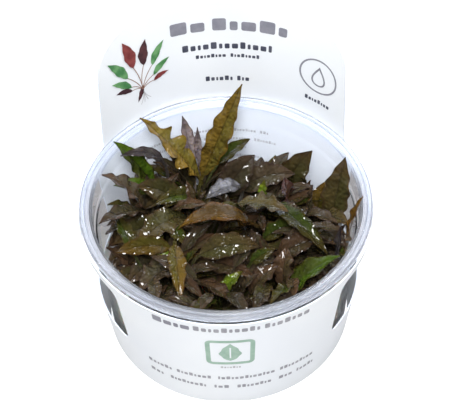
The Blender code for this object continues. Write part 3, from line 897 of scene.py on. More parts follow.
L = LeafColour
LEAVES = (
    Leaf("tall_gold", "back_left", (-8, 33, 33), (7, 40, 72), 0.0, 4.4, L.GOLDEN, 35, 0.28, 4.2, 0.22),
    Leaf("left_gold", "back_left", (-10, 34, 32), (-29, 34, 63), 1.0, 4.8, L.GOLDEN, 0.0, 0.28, 3.6, 0.28),
    Leaf("orange_fold", "back_right", (8, 2, 43), (-17, 0, 42), 6.0, 5.8, L.ORANGE, wave=0.06),
    Leaf("right_olive", "right", (39, 9, 34), (43, 15, 60), 1.0, 5.2, L.OLIVE, wave=0.06),
    Leaf("orange_right", "right", (41, -6, 40), (46, -3, 60), 1.0, 2.9, L.ORANGE),
    Leaf("long_green", "back_right", (17, 9, 43), (34, -14, 43), 3.0, 3.8, L.GREEN, waves=4, ruffle=0.08),
    Leaf("left_green", "left", (-26, 27, 35), (-38, 24, 62), 1.0, 3.8, L.FRESH),
    Leaf("bright_left", "left", (-25, 22, 36), (-39, 17, 47), 2.0, 3.2, L.FRESH),
    Leaf("left_brown", "left", (-29, 16, 36), (-42, 15, 55), 2.0, 5.0, L.BROWN),
    Leaf("dark_left", "left", (-29, 17, 36), (-43, 2, 48), 2.0, 3.8, L.DARK),
    Leaf("big_green", "front_right", (20, -24, 35), (38, -17, 46), 3.0, 6.0, L.FRESH),
    Leaf("droop_gold", "centre", (-18, -7, 42), (-16, -31, 43), 2.0, 3.2, L.AMBER),
    Leaf("olive_middle", "front", (-9, -12, 43), (11, -11, 45), 3.0, 4.6, L.OLIVE),
    Leaf("back_dark", "back_right", (0, 22, 34), (11, 32, 44), 2.0, 5.8, L.DARK),
    Leaf("back_dark_low", "back_right", (6, 25, 34), (25, 25, 41), 3.0, 5.2, L.DARK),
    Leaf("right_curl", "right_rear", (24, 24, 34), (32, 29, 48), 3.0, 5.4, L.OLIVE, curl=50),
    Leaf("broad_green", "centre", (-15, 11, 36), (-31, -7, 43), 3.0, 5.6, L.OLIVE),
    Leaf("olive_left", "front_left", (-24, 11, 37), (-39, -2, 43), 2.0, 4.8, L.OLIVE),
    Leaf("lens_left", "front_left", (-20, -6, 40), (-38, -10, 43), 2.0, 3.8, L.AMBER),
    Leaf("green_spear", "centre", (-11, 20, 37), (-25, 10, 44), 2.0, 3.0, L.GREEN),
    Leaf("silver", "centre", (5, 23, 38), (-7, 12, 44), 2.0, 3.6, L.PAINTED_SHEEN),
    Leaf("grey_olive", "back_right", (4, 12, 40), (21, 6, 42), 2.0, 5.2, L.OLIVE),
    Leaf("brown_long", "front", (-11, -12, 40), (9, -22, 42), 2.0, 3.8, L.BROWN),
    Leaf("front_brown", "front", (-12, -18, 36), (3, -33, 40), 3.0, 4.6, L.BROWN),
    Leaf("purple_spear", "back_left", (-12, 36, 38), (-15, 40, 58), 0.0, 2.9, L.PURPLE, wave=0.04),
    Leaf("small_spear", "back_left", (-10, 36, 38), (-10, 39, 52), 0.0, 1.5, L.PURPLE, wave=0.04),
    Leaf("brown_olive", "right", (32, 9, 36), (36, 16, 47), 2.0, 4.0, L.AMBER),
    Leaf("dark_pointed", "right_rear", (30, 11, 36), (31, 15, 47), 1.0, 3.0, L.DARK),
    Leaf("reddish", "right_rear", (22, 15, 35), (21, 20, 45), 2.0, 4.6, L.RED),
    Leaf("grey_thin", "right_rear", (21, 25, 36), (26, 31, 44), 1.0, 2.2, L.SILVER),
    Leaf("small_green", "front", (13, -3, 39), (25, 0, 43), 2.0, 3.5, L.GREEN),
    Leaf("brown_right", "front_right", (18, -9, 37), (32, -7, 43), 2.0, 4.4, L.BROWN),
    Leaf("brown_orange", "front_right", (19, -20, 34), (21, -10, 43), 2.0, 4.6, L.BROWN),
    Leaf("grey_brown", "front_right", (7, -24, 36), (17, -17, 42), 2.0, 4.4, L.BROWN),
    Leaf("silver_right", "right", (37, -14, 40), (39, -7, 50), 1.0, 2.2, L.SILVER),
    Leaf("arch_purple", "left", (-22, 32, 42), (-36, 26, 52), 3.0, 2.2, L.SILVER),
    Leaf("olive_inner_left", "left", (-18, 21, 33), (-32, 20, 43), 2.0, 4.8, L.OLIVE),
    Leaf("dark_front_left", "front_left", (-18, -8, 34), (-30, -25, 40), 2.0, 5.4, L.DARK),
    Leaf("dark_front_edge", "front_left", (-24, -4, 32), (-34, -20, 38), 2.0, 4.4, L.DARK),
    Leaf("lens_low", "front_left", (-26, -9, 35), (-39, -12, 39), 2.0, 3.4, L.OLIVE),
    Leaf("lime_short", "front_left", (-18, -10, 42), (-27, -12, 45), 1.0, 2.0, L.LIME),
    Leaf("yellow_green", "front", (-3, -25, 37), (5, -20, 43), 1.0, 2.7, L.LIME),
    Leaf("lime_back", "back_right", (13, 16, 38), (14, 19, 45), 0.5, 2.0, L.LIME),
    Leaf("lime_middle", "front_right", (8, -14, 40), (16, -11, 43), 1.0, 2.4, L.GREEN),
    Leaf("small_brown_left", "centre", (-34, 5, 32), (-41, -5, 40), 2.0, 3.6, L.BROWN),
    Leaf("front_right_dark", "front_right", (12, -26, 34), (24, -31, 40), 2.0, 4.2, L.DARK),
    Leaf("right_dark", "right", (31, 4, 36), (41, -10, 42), 2.0, 4.6, L.DARK),
    Leaf("front_dark", "front", (-9, -24, 34), (-20, -33, 38), 2.0, 4.4, L.DARK),
)


CROWNS = {
    "back_left": (-9.0, 28.0),
    "left": (-27.0, 13.0),
    "front_left": (-22.0, -13.0),
    "centre": (-9.0, 6.0),
    "back_right": (11.0, 17.0),
    "right_rear": (26.0, 20.0),
    "right": (33.0, -1.0),
    "front_right": (17.0, -15.0),
    "front": (-3.0, -23.0),
}


@dataclass
class Plantlets:
    """All leaves, and the crowns that they grow from."""

    crown_radius: float = 2.5
    crown_taper: float = 0.6
    crown_height: float = 4.6
    foot_radius: float = 3.55
    soil: float = 12.0
    gap: float = 0.3
    slant: Point = (0.0, -0.652, 0.758)
    slant_reach: int = 9
    side_steps: tuple[float, ...] = (0.0, 0.7, 1.4, 2.2, 3.2, 4.4)
    basal_leaves: int = 4
    basal_lengths: tuple[float, ...] = (19.0, 16.0, 13.0, 10.0)
    basal_rises: tuple[float, ...] = (11.0, 7.0, 3.0)
    basal_tilts: tuple[float, ...] = (28.0, 44.0, 12.0, 60.0)
    basal_turns: tuple[float, ...] = (0.0, 12.0, -12.0, 24.0, -24.0)
    basal_phase: float = 37.0
    basal_spread: float = 0.22
    basal_foot: float = 0.6
    basal_half_width: float = 0.19
    basal_arch: float = 0.1
    match: float = 0.12
    # Mostly dark colours for the low leaves: partly their own dark colour, partly painted shade in the gaps
    # under the canopy.
    low_colours_with_painted_shade: tuple[LeafColour, ...] = (
        LeafColour.DARK,
        LeafColour.BROWN,
        LeafColour.DARK,
        LeafColour.OLIVE,
        LeafColour.DARK,
        LeafColour.GREEN,
    )
    low_canopy: float = 45.0
    extra_leaves: int = 44
    wall_leaves: int = 26
    extra_tries: int = 40
    wall_turn: float = 0.8
    wall_reach: Span = (38.0, 42.4)
    wall_height: Span = (27.0, 46.5)
    wall_lengths: Span = (9.0, 19.0)
    back_drop: float = 13.0
    back_from: float = 10.0
    back_width: float = 15.0
    wall_crowns_from: float = 20.0
    wall_lag: Span = (0.2, 0.7)
    wall_inner: Span = (27.0, 35.0)
    wall_drop: Span = (1.0, 12.0)
    wall_half_width: float = 0.21
    low_turn: float = 137.5
    low_swing: float = 60.0
    low_lengths: Span = (8.0, 19.0)
    low_rises: Span = (2.0, 24.0)
    low_tilts: Span = (0.0, 60.0)
    seed: int = 100
    core_grid: tuple[int, ...] = (0, 6, 3)
    core_width: float = 0.3
    core_stem: float = 0.1
    leaf_grid: tuple[int, ...] = (12, 44, 15)
    small_grid: tuple[int, ...] = (6, 18, 9)

    def offsets(self) -> np.ndarray:
        """Every way in which a leaf may have been moved clear: steps on the slant, and to its sides."""
        slant = np.array(self.slant)
        aside = np.array((1.0, 0.0, 0.0))
        across = np.cross(slant, aside)
        angles = np.radians(45.0 * np.arange(8))
        ring = np.cos(angles)[:, None] * aside + np.sin(angles)[:, None] * across
        steps = np.arange(-self.slant_reach, self.slant_reach + 1)[:, None, None, None] * slant
        reaches = np.array(self.side_steps)[None, :, None, None] * ring[None, None]
        return (steps + reaches).reshape(-1, 3)

    def misses(self, node: str, places: np.ndarray) -> np.ndarray:
        """How far each place is from being half a leaf's thickness off the nearest point of a solid.

        Args:
            node: Name of the solid.
            places: Places to test.

        Returns:
            The miss at each place.
        """
        points = np.unique(np.round(node_points(node), 3), axis=0)
        apart = np.linalg.norm(places[:, None, :] - points[None], axis=-1).min(axis=1)
        return np.abs(apart - RULES.thickness / 2.0)

    def feet(self, crown: str) -> dict[str, np.ndarray]:
        """Where each leaf of a crown starts: evenly round it, in the order of the leaves' directions.

        The ring of feet is turned by the mean lag between the leaves' headings and their slots.

        Args:
            crown: Name of the crown.

        Returns:
            The foot of each leaf, by the leaf's name.
        """
        centre = np.array((*CROWNS[crown], 0.0))
        headings = {}
        for leaf in (row for row in LEAVES if row.crown == crown):
            base = np.array(leaf.base)
            way = base - (np.array(leaf.tip) - base) * RULES.stem_lead - centre
            headings[leaf.name] = math.atan2(way[1], way[0])
        order = sorted(headings, key=headings.get)
        slots = np.arange(len(order)) * math.tau / len(order)
        lags = np.array([headings[name] for name in order]) - slots
        angles = math.atan2(np.sin(lags).sum(), np.cos(lags).sum()) + slots
        ring = np.stack([np.cos(angles), np.sin(angles), np.zeros(len(order))], axis=1)
        feet = centre + ring * self.foot_radius + UP * (self.soil + self.gap)
        return dict(zip(order, feet))

    def settled(self, leaf: Leaf, foot: np.ndarray, number: int) -> Frond:
        """A leaf where its solid stands: the move that brings its base and tip onto the solid.

        Args:
            leaf: The leaf.
            foot: Where its stem starts.
            number: Its place in the list, which varies its waves and tone.

        Returns:
            The leaf in its place.
        """
        base, tip = np.array(leaf.base, float), np.array(leaf.tip, float)
        offsets = self.offsets()
        node = f"leaf_{leaf.name}"
        miss = self.misses(node, offsets + base) + self.misses(node, offsets + tip)
        offset = offsets[int(miss.argmin())]
        if miss.min() > self.match:
            LOG.warning("%s: its solid is %.2f mm from every move", leaf.name, miss.min())
        crown = np.array((*CROWNS[leaf.crown], 0.0))
        shape = {name: getattr(leaf, name) for name in ("arch", "half_width", "roll")}
        tone = (number * GOLDEN_SHARE) % 1.0
        shape |= {"wave": leaf.wave * (0.7 + tone), "ruffle": leaf.ruffle * (0.6 + tone)}
        shape |= {"waves": leaf.waves + tone, "curl": leaf.curl + 36.0 * (tone - 0.5)}
        stem = RULES.stem_half_width
        moved = (base + offset, tip + offset)
        return Frond(foot, *moved, stem=stem, crown=crown, phase=number * 2.4, tone=tone, **shape)

    def basal(self, number: int, crown: str) -> Iterator[Frond]:
        """The small leaves of a crown's solid: for each slot, the form whose base and tip are on it.

        Args:
            number: The crown's place in the list.
            crown: Its name.

        Yields:
            Each small leaf in its place.
        """
        centre = np.array((*CROWNS[crown], 0.0))
        for slot in range(self.basal_leaves):
            azimuth = slot * 360.0 / self.basal_leaves + self.basal_phase * number
            forms = product(self.basal_lengths, self.basal_rises, self.basal_tilts, self.basal_turns)
            fronds = [self.sprout(centre, azimuth + turn, *form) for *form, turn in forms]
            bases = np.array([frond.base for frond in fronds])
            tips = np.array([frond.tip for frond in fronds])
            node = f"crown_{crown}"
            miss = self.misses(node, bases) + self.misses(node, tips)
            if miss.min() < self.match:
                yield fronds[int(miss.argmin())]

    def sprout(self, centre: np.ndarray, azimuth: float, length: float, rise: float, tilt: float) -> Frond:
        """A small leaf that grows from a crown.

        Args:
            centre: The crown's centre.
            azimuth: Its heading in degrees from +X.
            length: Length of its blade.
            rise: How far above the crown the blade starts.
            tilt: Slope of the blade in degrees.

        Returns:
            The leaf.
        """
        heading, slope = math.radians(azimuth), math.radians(tilt)
        way = np.array((math.cos(heading), math.sin(heading), 0.0))
        foot = centre + way * self.basal_foot + UP * (self.soil + self.crown_height / 2.0)
        out = self.foot_radius + self.basal_spread * rise
        base = centre + way * out + UP * (self.soil + self.crown_height + rise)
        tip = base + (way * math.cos(slope) + UP * math.sin(slope)) * length
        shape = {"arch": self.basal_arch * length, "half_width": self.basal_half_width * length}
        tone = (azimuth * 0.137 + length * 0.31) % 1.0
        shape |= {"wave": 0.08 + 0.16 * tone, "ruffle": 0.05, "curl": 70.0 * (tone - 0.5)}
        shape |= {"crown": centre, "tone": tone, "phase": azimuth, "waves": 2.0 + tone}
        return Frond(foot, base, tip, stem=RULES.basal_stem_half_width, **shape)

    def undergrowth(self, number: int, crown: str, taken: dict[str, BVHTree]) -> list[Frond]:
        """More small leaves of a crown, between its first ones and no longer, clear of all others.

        Args:
            number: The crown's place in the list.
            crown: Its name.
            taken: Search trees of what is there already, by node name.

        Returns:
            The leaves.
        """
        draw = np.random.default_rng(self.seed + number)
        centre = np.array((*CROWNS[crown], 0.0))
        others = [tree for name, tree in taken.items() if name != f"crown_{crown}"]
        by_wall = self.wall_leaves if np.linalg.norm(centre) > self.wall_crowns_from else 0
        grown = []
        for leaf in range(self.extra_leaves + by_wall):
            for _ in range(self.extra_tries):
                frond = self.wall_leaf(centre, draw) if leaf < by_wall else self.low_leaf(centre, leaf, draw)
                if not frond:
                    continue
                slim = replace(frond, half_width=self.core_width * frond.half_width, stem=self.core_stem)
                tree = slim.plan(*self.core_grid).tree()
                if not any(tree.overlap(other) for other in others):
                    grown.append(frond)
                    others.append(tree)
                    break
        return grown

    def low_leaf(self, centre: np.ndarray, leaf: int, draw: np.random.Generator) -> Frond | None:
        """A small leaf round its crown, or None if it stands above the low canopy."""
        azimuth = leaf * self.low_turn + draw.uniform(-self.low_swing, self.low_swing)
        length, rise = draw.uniform(*self.low_lengths), draw.uniform(*self.low_rises)
        frond = self.sprout(centre, azimuth, length, rise, draw.uniform(*self.low_tilts))
        return frond if frond.tip[2] < self.low_canopy else None

    def wall_leaf(self, centre: np.ndarray, draw: np.random.Generator) -> Frond | None:
        """A small leaf whose tip stands near the cup's wall, to one side of its crown.

        Args:
            centre: The crown's centre.
            draw: Source of its place.

        Returns:
            The leaf, or None if it is too short or too long.
        """
        bearing = math.atan2(centre[1], centre[0])
        turn, lag = draw.uniform(-self.wall_turn, self.wall_turn), draw.uniform(*self.wall_lag)
        reach, height = draw.uniform(*self.wall_reach), draw.uniform(*self.wall_height)
        inner, drop = draw.uniform(*self.wall_inner), draw.uniform(*self.wall_drop)
        tip = np.array((reach * math.cos(bearing + turn), reach * math.sin(bearing + turn), height))
        tip[2] -= self.back_drop * float(smooth((tip[1] - self.back_from) / self.back_width))
        start = bearing + turn * lag
        base = np.array((inner * math.cos(start), inner * math.sin(start), tip[2] - drop))
        length = float(np.linalg.norm(tip - base))
        if not self.wall_lengths[0] < length < self.wall_lengths[1]:
            return None
        tone = (turn * 5.3 + reach * 0.37) % 1.0
        frond = self.sprout(centre, math.degrees(start), length, 5.0, 20.0)
        return replace(frond, base=base, tip=tip, half_width=self.wall_half_width * length, tone=tone)

    def stub(self, crown: str, rows: int = 12, columns: int = 24) -> MeshPlan:
        """A crown's rhizome: a tapered barrel with leaf scars, closed by a narrow ring at each end.

        The radius falls along the height by the taper, swells at the scars by a sine of the height
        and is uneven round by sines of the angle.

        Args:
            crown: Name of the crown.
            rows: Rings between foot and top.
            columns: Points in a ring.

        Returns:
            The plan of the rhizome.
        """
        share = np.linspace(0.0, 1.0, rows)[:, None]
        angle = np.linspace(0.0, math.tau, columns, endpoint=False)[None, :]
        radius = self.crown_radius * (1.0 + (self.crown_taper - 1.0) * share)
        radius = radius * (0.95 + 0.05 * np.sin(share * 22.0) + 0.03 * np.sin(angle * 5.0 + share * 3.0))
        shut = np.minimum(1.0, np.minimum(share, 1.0 - share) * 9.0 + 0.02)
        centre = CROWNS[crown]
        x = centre[0] + radius * shut * np.cos(angle)
        y = centre[1] + radius * shut * np.sin(angle)
        z = self.soil + self.gap + self.crown_height * share + 0.0 * angle
        points = np.stack([x, y, z], axis=-1).reshape(-1, 3)
        uv, tone = np.zeros((len(points), 2)), np.full(len(points), 0.5)
        return MeshPlan(points, tube_faces(rows, columns), uv, tone).outward()

    def painted(self, frond: Frond) -> MeshPlan:
        """A small leaf's plan, with the low colour that its tone picks: mostly dark, partly as painted shade.
        """
        plan = frond.plan(*self.small_grid)
        pick = int((frond.tone * 7.31) % 1.0 * len(self.low_colours_with_painted_shade))
        plan.paint = np.full(len(plan.faces), pick)
        return plan

    def build(self, finishes: dict[LeafColour, bpy.types.Material], crown_finish: bpy.types.Material) -> None:
        """Build every leaf and crown.

        Args:
            finishes: Materials of the leaves.
            crown_finish: Material of the rhizomes.
        """
        feet = {}
        for crown in CROWNS:
            feet |= self.feet(crown)
        for number, leaf in enumerate(LEAVES):
            frond = self.settled(leaf, feet[leaf.name], number)
            piece = frond.plan(*self.leaf_grid).build(f"{leaf.name}_leaf", finishes[leaf.colour])
            mount(piece, leaf.colour.value.slot, f"leaf_{leaf.name}")
        taken = {name: node_tree(name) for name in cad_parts}
        for number, crown in enumerate(CROWNS):
            node = f"crown_{crown}"
            small = list(self.basal(number, crown)) + self.undergrowth(number, crown, taken)
            LOG.info("%s: %d small leaves", crown, len(small))
            leaves = MeshPlan.joined([self.painted(frond) for frond in small])
            taken[node] = leaves.tree()
            # The low leaves' materials, mostly dark as painted shade under the canopy.
            low = [finishes[colour] for colour in self.low_colours_with_painted_shade]
            mount(leaves.build(f"small_leaves_{crown}", *low), "leaf_dark", node)
            mount(self.stub(crown).build(f"rhizome_{crown}", crown_finish), "rhizome", node)


def filleted(corners: np.ndarray, radius: float, steps: int = 4) -> np.ndarray:
    """Round the inner corners of an open line.

    Each corner becomes a quadratic Bezier curve with the corner as its control point, from a radius
    before it to a radius after it, or less than half of a shorter edge.

    Args:
        corners: Points of the line.
        radius: How far from a corner its curve starts.
        steps: Points on each curve less one.

    Returns:
        The rounded line.
    """
    edges = np.diff(corners, axis=0)
    length = np.linalg.norm(edges, axis=1)
    way = edges / length[:, None]
    cut = np.minimum(radius, UNDER_HALF * np.minimum(length[:-1], length[1:]))[:, None]
    start, end = corners[1:-1] - way[:-1] * cut, corners[1:-1] + way[1:] * cut
    mix = np.linspace(0.0, 1.0, steps + 1)[None, :, None]
    curve = start[:, None] * (1 - mix) ** 2 + corners[1:-1, None] * 2 * mix * (1 - mix)
    curve = curve + end[:, None] * mix**2
    return np.vstack([corners[:1], curve.reshape(-1, 2), corners[-1:]])


def revolved(profile: np.ndarray, steps: int) -> np.ndarray:
    """Points of a profile of (radius, height) turned round the Z axis, row by row of the profile."""
    angle = np.linspace(0.0, math.tau, steps, endpoint=False)
    x = profile[:, :1] * np.sin(angle)
    y = profile[:, :1] * np.cos(angle)
    z = np.broadcast_to(profile[:, 1:], x.shape)
    return np.stack([x, y, z], axis=-1)


def closed_turn(grid: np.ndarray) -> MeshPlan:
    """Faces of a turned grid whose first and last rings close in one point each.

    Args:
        grid: Points by ring and angle.

    Returns:
        The plan, with a fan of thin quads at each pole.
    """
    rows, steps = grid.shape[:2]
    points = np.vstack([grid.reshape(-1, 3), grid[0].mean(axis=0), grid[-1].mean(axis=0)])
    here = np.arange(0, steps, 2)
    ring = np.stack([here, (here + 1) % steps, (here + 2) % steps, np.full(len(here), rows * steps)], axis=1)
    last = ring + (rows - 1) * steps
    last[:, 3] = rows * steps + 1
    faces = np.vstack([grid_faces(rows, steps, True), ring[:, ::-1], last])
    return MeshPlan(points, faces).outward()


@dataclass
class Cup:
    """The clear cup, turned, with a ledge for the lid, a ribbed flange and a bead round the mouth."""

    height: float = 57.0
    wall: float = 0.8
    floor: float = 1.2
    base_radius: float = 42.5
    base_round: float = 1.3
    ledge_z: float = 47.6
    ledge_rise: float = 0.9
    ledge_radius: float = 45.2
    mouth_radius: float = 45.4
    flange_top: float = 56.3
    flange_underside: float = 55.2
    bead_width: float = 1.7
    rim_radius: float = 49.7
    rim_round: float = 0.45
    rim_underside: float = 54.95
    flange_foot: float = 54.5
    ribs: tuple[float, ...] = (46.5, 47.05, 47.6)
    rib_depth: float = 0.10
    rib_half_width: float = 0.14
    groove_depth: float = 0.25
    groove_draft: float = 0.05
    bead_draft: float = 0.1
    fillet: float = 0.5
    pole: float = 0.5
    steps: int = 192

    def profile(self) -> np.ndarray:
        """The cup's section from the middle of its floor, up inside and down outside."""
        inner = self.base_radius - self.wall
        groove = self.rim_radius - self.bead_width
        top, low = self.flange_top, self.flange_top - self.rib_depth
        ribs = [
            point
            for rib in self.ribs
            for point in ((rib - self.rib_half_width, top), (rib, low), (rib + self.rib_half_width, top))
        ]
        corners = [
            (self.pole, self.floor),
            (inner - self.base_round, self.floor),
            (inner, self.floor + self.base_round),
            (self.ledge_radius - self.ledge_rise, self.ledge_z),
            (self.ledge_radius, self.ledge_z + self.ledge_rise),
            (self.mouth_radius, top - self.rim_round),
            (self.mouth_radius + self.rim_round, top),
            *ribs,
            (groove - self.rim_round * 0.6, top),
            (groove - self.groove_draft, top - self.groove_depth),
            (groove + self.bead_draft, self.height - self.bead_draft),
            (self.rim_radius - self.rim_round, self.height),
            (self.rim_radius, self.height - self.rim_round),
            (self.rim_radius, self.rim_underside),
            (self.rim_radius - self.wall, self.rim_underside),
            (self.rim_radius - self.wall, self.flange_underside),
            (self.mouth_radius + self.wall, self.flange_underside),
            (self.ledge_radius + self.wall, self.ledge_z + self.ledge_rise - self.wall),
            (self.ledge_radius - self.ledge_rise + self.wall, self.ledge_z - self.wall),
            (self.base_radius, self.base_round),
            (self.base_radius - self.base_round, 0.0),
            (self.pole, 0.0),
        ]
        return filleted(np.array(corners), self.fillet)

    def build(self, wall: bpy.types.Material, flange: bpy.types.Material) -> None:
        """Build the cup, whose faces above the flange's foot have the flange's finish."""
        plan = closed_turn(revolved(self.profile(), self.steps))
        height = plan.points[plan.faces, 2].mean(axis=1)
        plan.paint = np.where(height > self.flange_foot, 1, 0)
        mount(plan.build("clear_cup", wall, flange, crease=SHELL_CREASE), "clear_plastic", "cup")


@dataclass
class GrowingGel:
    """The puck of growing gel, a little higher where it wets the wall."""

    top: float = 12.0
    radius: float = 41.2
    meniscus: float = 0.7
    meniscus_width: float = 3.0
    chamfer: float = 1.4
    draft: float = 0.6
    bottom: float = 1.5
    pole: float = 0.8
    rings: int = 24
    level_rings: int = 22
    ripple: float = 0.12
    ripple_beats: Span = (0.31, 0.27)
    steps: int = 96

    def build(self, finish: bpy.types.Material) -> None:
        """Build the gel: its top is flat but for slow waves and a rise that squares towards the wall."""
        way = np.linspace(0.02, 1.0, self.rings)
        out = way * self.radius
        rise = np.clip((out - self.radius + self.meniscus_width) / self.meniscus_width, 0.0, 1.0) ** 2
        surface = np.stack([out, self.top + rise * self.meniscus], axis=1)
        foot = self.radius - self.draft
        side = [(foot, self.bottom + self.chamfer), (foot - self.chamfer, self.bottom)]
        side.append((self.pole, self.bottom))
        grid = revolved(np.vstack([surface, side]), self.steps)
        top, (beat_x, beat_y) = grid[: self.level_rings], self.ripple_beats
        waves = np.sin(top[..., 0] * beat_x) * np.cos(top[..., 1] * beat_y + 1.0)
        top[..., 2] -= self.ripple + self.ripple * waves
        mount(closed_turn(grid).build("gel_puck", finish, crease=SHELL_CREASE), "growing_gel", "growing_gel")


@dataclass
class Sheet:
    """A flat outline with holes, filled with triangles, to be bent round the cup."""

    loops: list[np.ndarray]
    spacing: float
    room: float = 0.45

    def boundary(self) -> tuple[np.ndarray, np.ndarray]:
        """The outline's points, with long edges split evenly, and its edges."""
        points, edges, count = [], [], 0
        for loop in self.loops:
            length = np.linalg.norm(np.roll(loop, -1, axis=0) - loop, axis=1)
            parts = np.maximum(np.ceil(length / self.spacing), 1).astype(int)
            start = np.repeat(np.arange(len(loop)), parts)
            step = np.arange(len(start)) - np.repeat(np.cumsum(parts) - parts, parts)
            mix = (step / parts[start])[:, None]
            split = loop[start] * (1.0 - mix) + np.roll(loop, -1, axis=0)[start] * mix
            index = np.arange(len(split))
            points.append(split)
            edges.append(np.stack([index, np.roll(index, -1)], axis=1) + count)
            count += len(split)
        return np.vstack(points), np.vstack(edges)

    @staticmethod
    def inside(spots: np.ndarray, points: np.ndarray, edges: np.ndarray) -> np.ndarray:
        """Whether each spot is inside: a line from it to the right crosses an odd number of edges.

        Args:
            spots: Spots to test.
            points: Points of the outline.
            edges: Edges of the outline.

        Returns:
            True or False for each spot.
        """
        a, b = points[edges[:, 0]], points[edges[:, 1]]
        spans = (a[None, :, 1] > spots[:, None, 1]) != (b[None, :, 1] > spots[:, None, 1])
        drop = np.where(np.abs(b[:, 1] - a[:, 1]) < 1e-12, 1e-12, b[:, 1] - a[:, 1])
        cross = a[None, :, 0] + (spots[:, None, 1] - a[None, :, 1]) * ((b - a)[:, 0] / drop)[None]
        return ((spans & (spots[:, None, 0] < cross)).sum(axis=1) % 2).astype(bool)

    def fill(self) -> tuple[np.ndarray, np.ndarray]:
        """Fill the outline with triangles between its own points and an even grid of inner points.

        Returns:
            Points and triangles, which all turn the same way.
        """
        rim, edges = self.boundary()
        low, high = rim.min(axis=0), rim.max(axis=0)
        x, z = (np.arange(a + self.spacing / 2, b, self.spacing) for a, b in zip(low, high))
        grid = np.stack(np.meshgrid(x, z), axis=-1).reshape(-1, 2)
        grid = grid[self.inside(grid, rim, edges)]
        if len(grid):
            apart = np.array([np.linalg.norm(rim - spot, axis=1).min() for spot in grid])
            grid = grid[apart > self.room * self.spacing]
        spots = [Vector(spot) for spot in np.vstack([rim, grid])]
        found = delaunay_2d_cdt(spots, edges.tolist(), [], 0, 1e-6)
        points = np.array([tuple(spot) for spot in found[0]])
        faces = np.array([face for face in found[2] if len(face) == 3])
        middle = points[faces].mean(axis=1)
        faces = faces[self.inside(middle, rim, edges)]
        a, b, c = (points[faces[:, i]] for i in range(3))
        turn = (b - a)[:, 0] * (c - a)[:, 1] - (b - a)[:, 1] * (c - a)[:, 0]
        faces[turn < 0.0] = faces[turn < 0.0][:, ::-1]
        return points, faces[np.abs(turn) > TINY]


